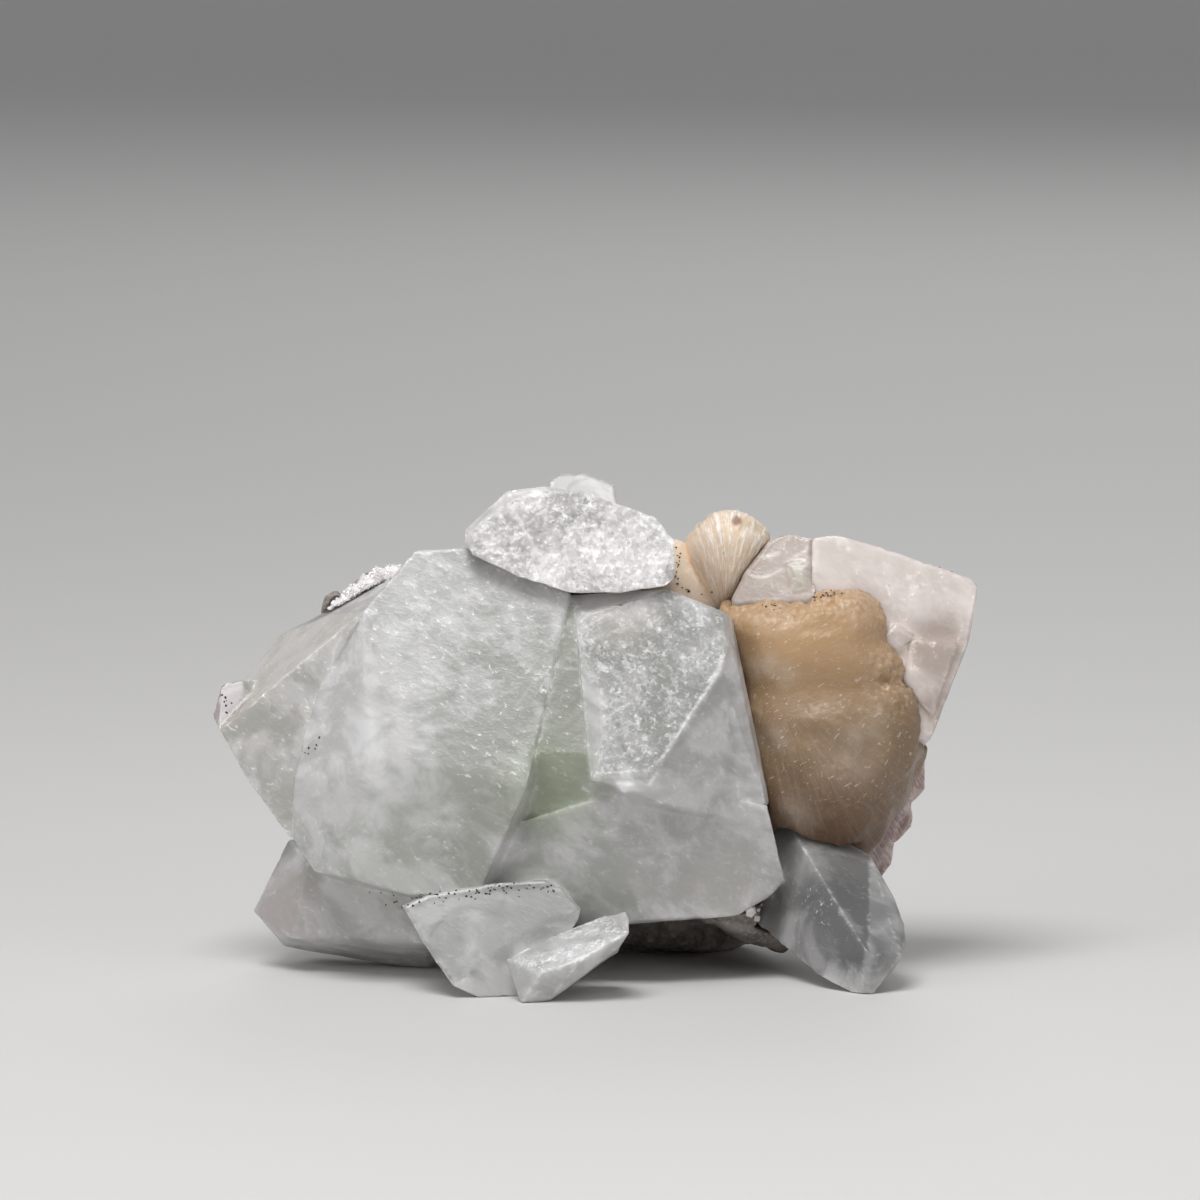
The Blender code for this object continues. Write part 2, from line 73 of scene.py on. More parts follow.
# %% [markdown]
# ## The camera
#
# The specimen is seen nearly square-on, from a little above. A long lens from 1.5 m keeps the far
# crystals from shrinking, as in a photograph of a small thing. The picture is square, and a fixed
# number of pixels to the millimetre sets its frame.

# %% Camera
PICTURE = 1200  # pixels on each side of the picture
PIXEL = 0.125 * MM  # what one pixel spans at the specimen
VIEW_TILT = math.radians(7)
CAMERA_AWAY = 1.5
SENSOR = 36.0
FRONT = -26.65 * MM  # the depth of the foremost crystal
LEFT_OF_MIDDLE = 6 * PIXEL
BASE_TO_MIDDLE = 403 * PIXEL

view_way = Vector((0, math.cos(VIEW_TILT), -math.sin(VIEW_TILT)))
view_up = Vector((0, math.sin(VIEW_TILT), math.cos(VIEW_TILT)))
aim = Vector((LEFT_OF_MIDDLE, FRONT, 0)) + view_up * BASE_TO_MIDDLE
lens = bpy.data.cameras.new("camera")
lens.sensor_width = SENSOR
lens.lens = SENSOR * CAMERA_AWAY / (PICTURE * PIXEL)
camera = bpy.data.objects.new("camera", lens)
bpy.context.scene.collection.objects.link(camera)
camera.location = aim - view_way * CAMERA_AWAY
camera.rotation_mode = "QUATERNION"
camera.rotation_quaternion = view_way.to_track_quat("-Z", "Y")
bpy.context.scene.camera = camera
bpy.context.scene.view_settings.view_transform = "Standard"
print("camera: lens", round(lens.lens), "mm, looking down", round(math.degrees(VIEW_TILT)), "degrees")


def spot(across, deep, up):
    """A place in space, from millimetres across, deep, and up as the camera sees it."""
    height = (up * MM - (deep * MM - FRONT) * math.sin(VIEW_TILT)) / math.cos(VIEW_TILT)
    return Vector((across * MM, deep * MM, height))


def seen_at(place):
    """Millimetres across and up, as the camera sees a place in space."""
    lift = place.z * math.cos(VIEW_TILT) + (place.y - FRONT) * math.sin(VIEW_TILT)
    return place.x / MM, lift / MM


# %% [markdown]
# ## The stage and the light
#
# The floor is a wide round dish whose rim curves up beyond the camera, so there is no horizon line
# from any side. One large soft light hangs above and a little in front, which brightens the tops of
# the crystals and lets their undersides fall off. A weak one from each side keeps the shadows open,
# and one behind lights the back.

# %% Stage
FLOOR_RADIUS = 1.5
RIM_RADIUS = 1.1
RIM_HEIGHT = 1.3
RIM_STEPS = 32
ROUND_STEPS = 96
FLOOR_COLOUR = (0.72, 0.71, 0.70)
FLOOR_ROUGHNESS = 0.6


def plain_material(name, colour, roughness):
    """A material of one colour all over."""
    made = bpy.data.materials.new(name)
    made.use_nodes = True
    shader = made.node_tree.nodes["Principled BSDF"]
    shader.inputs["Base Color"].default_value = (*colour, 1)
    shader.inputs["Roughness"].default_value = roughness
    return made


def make_dish():
    """Half of the dish's section, from its middle to its rim, spun round the upright axis."""
    bm = bmesh.new()
    middle = bm.verts.new((0, 0, 0))
    foot = bm.verts.new((FLOOR_RADIUS, 0, 0))
    bm.edges.new((middle, foot))
    turned = bmesh.ops.spin(
        bm, geom=[foot], cent=(FLOOR_RADIUS, 0, RIM_RADIUS), axis=(0, -1, 0), dvec=(0, 0, 0),
        angle=math.pi / 2, steps=RIM_STEPS, use_merge=False,
    )["geom_last"]
    top = [g for g in turned if isinstance(g, bmesh.types.BMVert)]
    out = bmesh.ops.extrude_vert_indiv(bm, verts=top)["verts"]
    bmesh.ops.translate(bm, verts=out, vec=(0, 0, RIM_HEIGHT - RIM_RADIUS))
    bmesh.ops.spin(
        bm, geom=bm.verts[:] + bm.edges[:], cent=(0, 0, 0), axis=(0, 0, 1), dvec=(0, 0, 0),
        angle=math.tau, steps=ROUND_STEPS, use_merge=True,
    )
    bmesh.ops.remove_doubles(bm, verts=bm.verts, dist=MM)
    bmesh.ops.recalc_face_normals(bm, faces=bm.faces)
    if sum(face.normal.z for face in bm.faces) < 0:
        bmesh.ops.reverse_faces(bm, faces=bm.faces)
    mesh = bpy.data.meshes.new("dish")
    bm.to_mesh(mesh)
    bm.free()
    mesh.shade_smooth()
    made = bpy.data.objects.new("dish", mesh)
    bpy.context.scene.collection.objects.link(made)
    mesh.materials.append(plain_material("pale_floor", FLOOR_COLOUR, FLOOR_ROUGHNESS))
    return made


dish = make_dish()
dish_top = max(v.co.z for v in dish.data.vertices)
print("stage: dish with", len(dish.data.polygons), "faces, top at", round(dish_top, 2), "m")

# %% Lights
LIT_PLACE = Vector((0, 0, 0.03))
LIGHTS = [
    # (name, place in metres, width in metres, watts)
    ("top_light", (-0.12, -0.3, 0.75), 0.4, 4.4),
    ("left_light", (-0.8, -0.6, 0.35), 0.5, 2.0),
    ("right_light", (0.8, -0.7, 0.3), 0.5, 1.3),
    ("back_light", (0.2, 1.0, 0.6), 0.6, 1.6),
]
ROOM_COLOUR = (0.97, 0.98, 1.0, 1)
ROOM_LIGHT = 0.27


def soft_light(name, place, width, power):
    """A square lamp that shines at the specimen."""
    data = bpy.data.lights.new(name, "AREA")
    data.shape = "SQUARE"
    data.size = width
    data.energy = power
    made = bpy.data.objects.new(name, data)
    made.location = place
    made.rotation_mode = "QUATERNION"
    made.rotation_quaternion = (LIT_PLACE - Vector(place)).to_track_quat("-Z", "Y")
    bpy.context.scene.collection.objects.link(made)


for light in LIGHTS:
    soft_light(*light)
world = bpy.data.worlds.new("soft_room")
world.use_nodes = True
background = world.node_tree.nodes["Background"]
background.inputs["Color"].default_value = ROOM_COLOUR
background.inputs["Strength"].default_value = ROOM_LIGHT
bpy.context.scene.world = world

# %% [markdown]
# ## Patterns that several finishes share
#
# Each pattern is a node group with named inputs, so that every mineral can use it with its own
# values. They read Object coordinates, in millimetres, so a pattern has its real scale on every
# piece and stays put when the piece is seen from another side.

# %% Helpers for nodes


def new_group(name, inputs, outputs):
    """A shader node group, from {name: value} for its inputs and the names of its outputs."""
    group = bpy.data.node_groups.new(name, "ShaderNodeTree")
    for title, value in inputs.items():
        kind = "NodeSocketVector" if isinstance(value, tuple) else "NodeSocketFloat"
        group.interface.new_socket(title, in_out="INPUT", socket_type=kind).default_value = value
    for title in outputs:
        group.interface.new_socket(title, in_out="OUTPUT", socket_type="NodeSocketFloat")
    group.nodes.new("NodeGroupInput")
    group.nodes.new("NodeGroupOutput")
    return group


def ends(group):
    """The sockets that come into a group, and those that leave it."""
    return group.nodes["Group Input"].outputs, group.nodes["Group Output"].inputs


def fill(tree, node, **values):
    """Sets a node's inputs. A value may be a number or colour, or another node's output."""
    for title, value in values.items():
        socket = node.inputs[int(title[1:])] if title[1:].isdigit() else node.inputs[title.replace("_", " ")]
        if isinstance(value, bpy.types.NodeSocket):
            tree.links.new(value, socket)
        else:
            socket.default_value = value
    return node


def put(tree, kind, settings=None, **values):
    """Adds a node, with its settings and its inputs."""
    made = tree.nodes.new(kind)
    for name, value in (settings or {}).items():
        setattr(made, name, value)
    return fill(tree, made, **values)


def sums(tree, operation, first, second=0.0, third=0.0):
    """One step of arithmetic."""
    made = put(tree, "ShaderNodeMath", {"operation": operation}, _0=first, _1=second, _2=third)
    return made.outputs[0]


def times(tree, first, second):
    """One value times another."""
    return sums(tree, "MULTIPLY", first, second)


def scaled(tree, value, gain, start):
    """A value times a gain, and something added to that."""
    return sums(tree, "MULTIPLY_ADD", value, gain, start)


def vectors(tree, operation, *inputs):
    """One step of arithmetic with vectors."""
    values = {f"_{index}": value for index, value in enumerate(inputs)}
    return put(tree, "ShaderNodeVectorMath", {"operation": operation}, **values).outputs


def band(tree, value, low, high):
    """0 below low, 1 above high, and a soft step between."""
    soft = {"interpolation_type": "SMOOTHSTEP"}
    return put(tree, "ShaderNodeMapRange", soft, Value=value, From_Min=low, From_Max=high).outputs["Result"]


def blend_colours(tree, share, first, second):
    """The first colour where share is 0, the second where it is 1, and a mix between."""
    first, second = (c if isinstance(c, bpy.types.NodeSocket) else (*c, 1) for c in (first, second))
    return put(tree, "ShaderNodeMix", {"data_type": "RGBA"}, _0=share, _6=first, _7=second).outputs[2]


def millimetres(tree):
    """Object coordinates, counted in millimetres."""
    where = tree.nodes.new("ShaderNodeTexCoord").outputs["Object"]
    return put(tree, "ShaderNodeVectorMath", {"operation": "SCALE"}, _0=where, Scale=1 / MM).outputs[0]


# %% Pattern: streaks
EVENNESS = 0.91  # how much of the noise's spread is kept


def make_streaks():
    """Soft patches drawn out along one way, for veils and flecks that follow a crystal's growth."""
    usual = {"Size": 1.0, "Stretch": 3.0, "Turn": (0, 0, 0), "From": 0.5, "To": 0.7, "Seed": 0.0}
    group = new_group("Streaks", usual, ("Mask", "Height"))
    given, result = ends(group)
    turned = put(
        group, "ShaderNodeMapping", Vector=millimetres(group), Rotation=given["Turn"], Location=given["Seed"]
    )
    inverse = sums(group, "DIVIDE", 1.0, given["Stretch"])
    squeeze = put(group, "ShaderNodeCombineXYZ", X=inverse, Y=1.0, Z=1.0)
    drawn = vectors(group, "MULTIPLY", turned.outputs[0], squeeze.outputs[0])[0]
    fine = put(
        group, "ShaderNodeTexNoise", Vector=drawn, Scale=sums(group, "DIVIDE", 1.0, given["Size"]),
        Detail=4.0, Roughness=0.62, Distortion=0.5,
    )
    even = scaled(group, fine.outputs["Fac"], EVENNESS, (1 - EVENNESS) / 2)
    group.links.new(band(group, even, given["From"], given["To"]), result["Mask"])
    group.links.new(even, result["Height"])
    return group


STREAKS = make_streaks()
print("pattern:", STREAKS.name)

# %% Pattern: glitter
WANDER_SCALE = 1.7  # how often, in a millimetre, the rows of facets swerve
WANDER_REACH = (0.6, 0.6, 0.6)
EVEN_TILT = (0.5, 0.5, 0.5)


def make_glitter():
    """A crust of tiny flat facets: each cell has its own brightness, and tilts its own way."""
    group = new_group("Glitter", {"Size": 0.5, "Seed": 0.0}, ("Mask", "Height"))
    given, result = ends(group)
    place = millimetres(group)
    wander = put(group, "ShaderNodeTexNoise", Vector=place, Scale=WANDER_SCALE, Detail=2.0)
    swerved = vectors(group, "MULTIPLY_ADD", wander.outputs["Color"], WANDER_REACH, place)[0]
    offset = put(group, "ShaderNodeCombineXYZ", X=given["Seed"])
    moved = vectors(group, "ADD", swerved, offset.outputs[0])[0]
    scale = sums(group, "DIVIDE", 1.0, given["Size"])
    cells = put(group, "ShaderNodeTexVoronoi", Vector=moved, Scale=scale, Randomness=1.0)
    brightness = put(group, "ShaderNodeSeparateColor", Color=cells.outputs["Color"])
    way = vectors(group, "SUBTRACT", cells.outputs["Color"], EVEN_TILT)[0]
    from_heart = vectors(group, "SUBTRACT", moved, cells.outputs["Position"])[0]
    group.links.new(brightness.outputs[0], result["Mask"])
    group.links.new(vectors(group, "DOT_PRODUCT", way, from_heart)["Value"], result["Height"])
    return group


GLITTER = make_glitter()
print("pattern:", GLITTER.name)

# %% [markdown]
# ## From patterns to materials
#
# A material places the patterns, mixes its colours with them, and raises its surface by them. What
# was painted on a piece's vertices says where each pattern shows. Light wanders a little way under
# the surface of every crystal here, which one shader setting gives without a real cloud inside.

# %% Helpers for materials


def use(tree, group, **values):
    """Places a pattern in a material, with its own values."""
    return put(tree, "ShaderNodeGroup", {"node_tree": group}, **values).outputs


def painted(tree, name):
    """What was painted on the piece under this name, from 0 to 1."""
    return put(tree, "ShaderNodeAttribute", {"attribute_name": name}).outputs["Fac"]


def new_material(name):
    """A new material, its nodes and its shader."""
    made = bpy.data.materials.new(name)
    made.use_nodes = True
    return made, made.node_tree, made.node_tree.nodes["Principled BSDF"]


def scattering(tree, shader, depth, radius):
    """Lets light wander under the surface, for depth millimetres."""
    shader.subsurface_method = "BURLEY"
    fill(tree, shader, Subsurface_Weight=1.0, Subsurface_Radius=radius, Subsurface_Scale=depth * MM)


def raise_surface(tree, shader, height):
    """Raises the surface by a height in millimetres, for the light alone."""
    bump = put(tree, "ShaderNodeBump", Strength=1.0, Distance=MM, Height=height)
    fill(tree, shader, Normal=bump.outputs["Normal"])


print("patterns to place:", [group.name for group in bpy.data.node_groups])

# %% [markdown]
# ## Milky apophyllite
#
# The crystal is clear in places and clouded in others, so light goes in, scatters, and comes out
# softened. Subsurface scattering does that without tracing a real cloud. Base Color goes from the
# grey-green of clear crystal to white where there are veils and flecks, and what was painted on the
# faces says how much of each there is. The white flecks are painted reflections of cleavage planes
# inside; white is also painted on as glints of tiny facets and as a highlight along the edges. A coat
# gives the smooth outer face its gloss over the rougher flecks inside. The pearly basal faces are a
# crust of tiny facets, which glitter.

# %% Apophyllite: its patterns
PAINTS = ("flecky", "pearly", "cloudy", "striped", "green", "pink", "warm", "grey")
VEIL_TURN = (0, math.radians(-30), 0)
LINE_TURN = (0, math.radians(-88), 0)


def crystal_patterns(tree, seed):
    """Veils, smudges, fine flecks, upright growth lines, and facets of two sizes."""
    return {
        "veil": use(tree, STREAKS, Size=6.0, Stretch=1.4, Turn=VEIL_TURN, From=0.4, To=0.62, Seed=seed),
        "smudge": use(tree, STREAKS, Size=1.15, Stretch=1.7, Turn=VEIL_TURN, From=0.5, To=0.6, Seed=seed + 3),
        "fine": use(tree, STREAKS, Size=0.5, Stretch=1.9, Turn=VEIL_TURN, From=0.575, To=0.62, Seed=seed + 7),
        "lines": use(tree, STREAKS, Size=0.5, Stretch=9.0, Turn=LINE_TURN, From=0.5, To=0.62, Seed=seed + 9),
        "small": use(tree, GLITTER, Size=0.36, Seed=seed + 1),
        "large": use(tree, GLITTER, Size=0.8, Seed=seed + 2),
    }


print("a crystal's faces are painted:", PAINTS)

# %% Apophyllite: its colour
WINDOW_GREEN = (0.20, 0.25, 0.13)
ROSE = (0.42, 0.355, 0.355)
SMOKE = (0.13, 0.13, 0.135)
CREAM = (0.74, 0.66, 0.57)


def body_colour(tree, paint, look, clear, cloud, veils):
    """Clear to cloudy, tinted where it is painted rosy, warm, green or smoky."""
    veil, smudge = look["veil"]["Mask"], look["smudge"]["Mask"]
    misty = scaled(tree, veil, veils, sums(tree, "SUBTRACT", paint["cloudy"], veils / 2))
    misty = sums(tree, "ADD", misty, times(tree, smudge, scaled(tree, paint["flecky"], 0.22, 0.06)))
    misty = sums(tree, "MINIMUM", sums(tree, "MAXIMUM", misty, 0.0), 1.0)
    colour = blend_colours(tree, misty, clear, cloud)
    for title, tint in (("pink", ROSE), ("warm", CREAM), ("green", WINDOW_GREEN)):
        colour = blend_colours(tree, paint[title], colour, tint)
    smoky = times(tree, paint["grey"], scaled(tree, veil, -0.35, 1.0))
    return blend_colours(tree, smoky, colour, SMOKE)


def fleck_and_glint_share(tree, paint, look):
    """How white each place is painted, from 0 to 1: flecks as painted reflections, painted glints of facets,
    a painted highlight along the rims, and growth lines.
    """
    smudge = look["smudge"]["Mask"]
    # the tiny facets are whitened as painted glints where a face is pearly
    facets = times(tree, look["small"]["Mask"], look["large"]["Mask"])
    facets = scaled(tree, look["lines"]["Mask"], scaled(tree, paint["striped"], 0.4, 0.15), facets)
    facets = times(tree, band(tree, facets, 0.2, 0.6), scaled(tree, smudge, 0.7, 0.3))
    # white flecks: painted reflections of cleavage planes inside the crystal
    flecks = times(tree, look["fine"]["Mask"], scaled(tree, paint["flecky"], 0.75, 0.02))
    bright = times(tree, flecks, scaled(tree, smudge, 0.8, 0.2))
    bright = sums(tree, "MAXIMUM", bright, times(tree, facets, paint["pearly"]))
    # a painted highlight along the edges
    bright = sums(tree, "MAXIMUM", bright, times(tree, paint["rim"], times(tree, smudge, 0.22)))
    bright = sums(tree, "MAXIMUM", bright, times(tree, paint["striped"], 0.35))
    return sums(tree, "MINIMUM", bright, 1.0)


print("tints:", {"rose": ROSE, "cream": CREAM, "window green": WINDOW_GREEN, "smoke": SMOKE})

# %% Apophyllite
CRYSTAL_IOR = 1.535
CRYSTAL_RADIUS = (1.0, 1.05, 0.95)  # green light wanders furthest


def crystal_height(tree, paint, look):
    """Fine flecks on rough faces, and tilted facets and growth lines on pearly ones."""
    flecks = times(tree, look["fine"]["Height"], scaled(tree, paint["flecky"], 0.12, 0.01))
    facets = sums(tree, "ADD", look["small"]["Height"], look["large"]["Height"])
    facets = scaled(tree, look["lines"]["Height"], scaled(tree, paint["striped"], 0.25, 0.06), facets)
    return scaled(tree, facets, times(tree, paint["pearly"], 0.8), flecks)


def make_apophyllite(name, clear, cloud, glint_fleck=(0.96, 0.96, 0.96), depth=1.6, veils=0.6, seed=0.0):
    """Milky crystal, from its colours where it is clear and cloudy, and the white of its flecks, which are
    painted reflections and glints.
    """
    made, tree, shader = new_material(name)
    paint = {title: painted(tree, title) for title in (*PAINTS, "rim")}
    look = crystal_patterns(tree, seed)
    colour = body_colour(tree, paint, look, clear, cloud, veils)
    # Base Color is whitened where reflections, glints and edge highlights are painted
    colour = blend_colours(tree, fleck_and_glint_share(tree, paint, look), colour, glint_fleck)
    rough = scaled(tree, look["smudge"]["Height"], 0.25, 0.2)
    rough = scaled(tree, paint["pearly"], -0.1, rough)
    fill(tree, shader, Base_Color=colour, Roughness=rough, IOR=CRYSTAL_IOR)
    fill(tree, shader, Coat_Weight=0.4, Coat_Roughness=0.2)
    scattering(tree, shader, depth, CRYSTAL_RADIUS)
    raise_surface(tree, shader, crystal_height(tree, paint, look))
    return made


milky = make_apophyllite("milky_apophyllite", (0.345, 0.345, 0.325), (0.655, 0.645, 0.65))
pale = make_apophyllite(
    "pale_apophyllite", (0.46, 0.385, 0.345), (0.88, 0.80, 0.76), (1.0, 0.97, 0.94),
    depth=1.8, veils=0.3, seed=11.0,
)
pearl = make_apophyllite(
    "pearly_apophyllite", (0.45, 0.43, 0.43), (0.82, 0.79, 0.79), (1, 1, 1), depth=0.9, seed=23.0
)
print("materials:", [m.name for m in bpy.data.materials])

# %% [markdown]
# ## Crystal faces with relief
#
# A grown crystal face is flat but never blank: it has low terraces, streaks and pits, and its edges
# are a little worn and nicked. Each solid is copied, its triangles are merged back into whole
# faces, and the faces are cut finely enough for relief, more finely on the side that is looked at.
# The relief fades out towards every edge, so that the faces still meet in clean lines.

# %% Copying and cutting a solid
FLAT_ANGLE = math.radians(1.0)
MOST_ROUNDS = 9
FRONT_LIMIT = 0.25  # a face whose normal's y is under this counts as seen from the front
UNDER_LIMIT = -0.6  # unless its normal's z is under this


def solid_copy(node):
    """A solid's mesh, with its loose triangles joined."""
    bm = bmesh.new()
    bm.from_mesh(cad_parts[node].data)
    bmesh.ops.remove_doubles(bm, verts=bm.verts, dist=0.001 * MM)
    return bm


def whole_faces(bm):
    """Merges the triangles of each flat face, and gives every face its own number."""
    bmesh.ops.dissolve_limit(bm, angle_limit=FLAT_ANGLE, verts=bm.verts, edges=bm.edges)
    numbers = bm.faces.layers.int.new("facet")
    for face in bm.faces:
        face[numbers] = face.index + 1
    return bm


def cut_finely(bm, front_size, back_size, special=None):
    """Halves every edge that is too long for its side of the specimen, until none is."""
    special = special or {}
    numbers = bm.faces.layers.int.get("facet")
    bmesh.ops.triangulate(bm, faces=bm.faces)
    for _ in range(MOST_ROUNDS):
        bm.normal_update()
        too_long = []
        for edge in bm.edges:
            front = any(f.normal.y < FRONT_LIMIT and f.normal.z > UNDER_LIMIT for f in edge.link_faces)
            size = front_size if front else back_size
            if special:
                size = min([size] + [special.get(face[numbers], size) for face in edge.link_faces])
            if edge.calc_length() > size * MM:
                too_long.append(edge)
        if not too_long:
            break
        bmesh.ops.subdivide_edges(bm, edges=too_long, cuts=1)
        bmesh.ops.triangulate(bm, faces=[face for face in bm.faces if len(face.verts) > 3])
    return bm


def melt(bm, verts, rounds):
    """Rounds off a shape, as much as the number of rounds says."""
    for _ in range(rounds):
        bmesh.ops.smooth_vert(bm, verts=verts, factor=0.5, use_axis_x=True, use_axis_y=True, use_axis_z=True)


def keep_inside(bm, low, high):
    """Keeps every vertex within a box."""
    for vert in bm.verts:
        vert.co = np.clip(vert.co, low, high)


def move_all(bm, places):
    """Moves every vertex, once all their new places are known."""
    for vert, place in zip(bm.verts, places):
        vert.co = place


print("solids to dress:", len(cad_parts))

# %% Which face is where
SIGHT_START = 0.2  # how far in front of the specimen a line of sight starts, in metres


def sight_start(across, up):
    """Where the camera's line of sight to a place is taken up."""
    return spot(across, FRONT / MM, up) - view_way * SIGHT_START


def facet_seen(bm, tree, across, up):
    """The number of the face that the camera sees at a place."""
    place, _, index, _ = tree.ray_cast(sight_start(across, up), view_way)
    if place is None:
        return 0
    return bm.faces[index][bm.faces.layers.int["facet"]]


print("lines of sight start", SIGHT_START, "m in front")

# %% [markdown]
# ## Relief
#
# Smooth prism faces have low growth terraces alone, rough ones have scaly patches too, and the
# pearly basal faces have grooves and pits. A picture of such marks would look flat from the side,
# so noise at their real size moves the vertices.

# %% Relief
EDGE_FADE = 0.7  # how far from an edge the relief reaches its full height
# how far from an edge the painted highlight along it reaches
RIM_HIGHLIGHT_WIDTH = 0.35
WOBBLE = 0.07  # how far a crystal's edge wanders from a straight line
FLAT_WOBBLE = 0.1  # the share of it that is left in the middle of a face
WOBBLE_SIZE = 2.2
NICK_DEPTH = 0.22
NICK_SIZE = 0.9
LEVELS = 5  # how many terraces a face has
PLAIN_RISE = 0.3
ROUGH_RISE = 0.2
SCALY_RISE = 0.03
GROOVE_DEPTH = 0.06
STRIPE_DEPTH = 0.1
RIPPLE_DEPTH = 0.05
PIT_DEPTH = 0.16
PATCH_RISE = 0.12
SIN_30 = 0.5
COS_30 = 0.87


def soft_step(value, low, high):
    """0 below low, 1 above high, and a soft step between."""
    t = min(1.0, max(0.0, (value - low) / (high - low)))
    return t * t * (3 - 2 * t)


def terraces(place, size, seed):
    """Low growth terraces, from 0 to 1: flat, then a short rise to the next."""
    level = (noise.noise(place / size + Vector((seed, 0, 0))) * 0.5 + 0.5) * LEVELS
    return (math.floor(level) + soft_step(level % 1.0, 0.85, 1.0)) / LEVELS


def plain_relief(place, seed, striped):
    """The relief of a smooth prism face, in millimetres."""
    return PLAIN_RISE * terraces(place, 9.0, seed) - PLAIN_RISE / 2


def fleck_relief(place, seed, striped):
    """The relief of a rough face, whose scaly patches run down to the right."""
    along = Vector((place.x * COS_30 - place.z * SIN_30, place.y * 0.6, place.x * SIN_30 + place.z * COS_30))
    drawn = Vector((along.x / 2.6, along.y, along.z))
    scale = noise.noise(drawn / 0.8 + Vector((seed, 0, 0)))
    return ROUGH_RISE * terraces(place, 7.0, seed) - ROUGH_RISE / 2 + SCALY_RISE * soft_step(scale, 0.1, 0.3)


def basal_relief(place, seed, striped):
    """The relief of a pearly basal face: upright grooves where it is striped, and pits."""
    tall = noise.noise(Vector((place.x / 0.6, place.y / 0.6, place.z / 5 + seed)))
    wide = noise.noise(Vector((place.x / 5, place.y / 5, place.z / 0.8 - seed)))
    pit = noise.noise(place / 0.7 + Vector((seed, 4, 0)))
    patch = noise.noise(place / 2.6 + Vector((0, seed, 7)))
    height = (GROOVE_DEPTH + STRIPE_DEPTH * striped) * tall + RIPPLE_DEPTH * wide
    height -= PIT_DEPTH * soft_step(pit, 0.15, 0.4)
    return height + PATCH_RISE * soft_step(patch, -0.05, 0.1)


RELIEFS = {"plain": plain_relief, "flecky": fleck_relief, "basal": basal_relief}
print("reliefs:", list(RELIEFS))

# %% [markdown]
# ## Finishes and marks
#
# A finish says what one face is like. A mark is a single rib, score or plate that sits on a face
# at a known place, so it is given by its corners as the camera sees them.

# %% Finishes and marks


class Finish:
    """What a face is like: its relief and how much of it, how finely it is cut, and its paint."""

    def __init__(self, relief="plain", size=None, depth=1.0, cloudy=0.5, flecky=0.15, **paint):
        self.relief = relief
        self.depth = depth
        self.size = size
        self.paint = {name: paint.get(name, 0.0) for name in PAINTS}
        self.paint.update(cloudy=cloudy, flecky=flecky)


def off_line(corners, across, up):
    """How far a point is from a row of corners, in millimetres."""
    point = Vector((across, up))
    best = math.inf
    for start, end in zip(corners, corners[1:]):
        side = Vector(end) - Vector(start)
        share = min(1.0, max(0.0, (point - Vector(start)).dot(side) / side.length_squared))
        best = min(best, (Vector(start) + side * share - point).length)
    return best


def is_inside(corners, across, up):
    """Whether a point is inside a closed outline, by how often a line to its right crosses it."""
    crossings = 0
    for (x0, y0), (x1, y1) in zip(corners, corners[1:] + corners[:1]):
        if (y0 > up) != (y1 > up) and across < x0 + (up - y0) * (x1 - x0) / (y1 - y0):
            crossings += 1
    return crossings % 2 == 1


class Mark:
    """A small form on a face: a rib or score along a line, or a plate within an outline."""

    def __init__(self, corners, height, width=0.4, plate=False, **paint):
        self.corners = corners
        self.height = height
        self.width = width
        self.plate = plate
        self.paint = paint
        xs, ys = [c[0] for c in corners], [c[1] for c in corners]
        self.box = (min(xs) - width, max(xs) + width, min(ys) - width, max(ys) + width)

    def strength(self, across, up):
        left, right, low, high = self.box
        if not (left < across < right and low < up < high):
            return 0.0
        if self.plate:
            away = off_line(self.corners + self.corners[:1], across, up)
            if not is_inside(self.corners, across, up):
                away = -away
            return soft_step(away, -self.width / 2, self.width / 2)
        return 1 - soft_step(off_line(self.corners, across, up), 0.0, self.width)


print("an ordinary face is painted:", Finish().paint)

# %% [markdown]
# ## From a solid to a finished piece
#
# A face's relief has to know how far it is from the face's edge, which a search tree of the edge's
# vertices answers quickly. Some creases of the real crystals are rounded, where two growths run
# into each other, so those are smoothed at the end.

# %% Finished pieces


def new_piece(name, bm, node, material, sharp=None):
    """Turns a bmesh into a piece that stands for a solid."""
    mesh = bpy.data.meshes.new(name)
    bm.to_mesh(mesh)
    bm.free()
    if sharp:
        mesh.set_sharp_from_angle(angle=math.radians(sharp))
    else:
        mesh.shade_smooth()
    made = bpy.data.objects.new(name, mesh)
    bpy.context.scene.collection.objects.link(made)
    mesh.materials.append(material)
    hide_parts(node)
    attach(made, "root")
    print(f"{name}: {len(mesh.polygons)} faces")
    return made


def edge_distance(bm, numbers):
    """How far each vertex is from the nearest edge between two faces, in millimetres."""
    on_edge = [v for v in bm.verts if len({face[numbers] for face in v.link_faces}) > 1]
    tree = kdtree.KDTree(len(on_edge))
    for index, vert in enumerate(on_edge):
        tree.insert(vert.co, index)
    tree.balance()
    return [tree.find(v.co)[2] / MM for v in bm.verts], on_edge


# %% Softened creases
FACING = 0.3  # the camera sees a vertex whose normal's y is under this
SOFT_STEPS = (1.0, 0.7, 0.4)
PAINT_ROUNDS = 24


def blend_paint(verts, layers, rounds):
    """Lets the paint of neighbouring faces run into each other."""
    for layer in layers:
        for _ in range(rounds):
            mixed = [sum(e.other_vert(v)[layer] for e in v.link_edges) / len(v.link_edges) for v in verts]
            for vert, value in zip(verts, mixed):
                vert[layer] = value


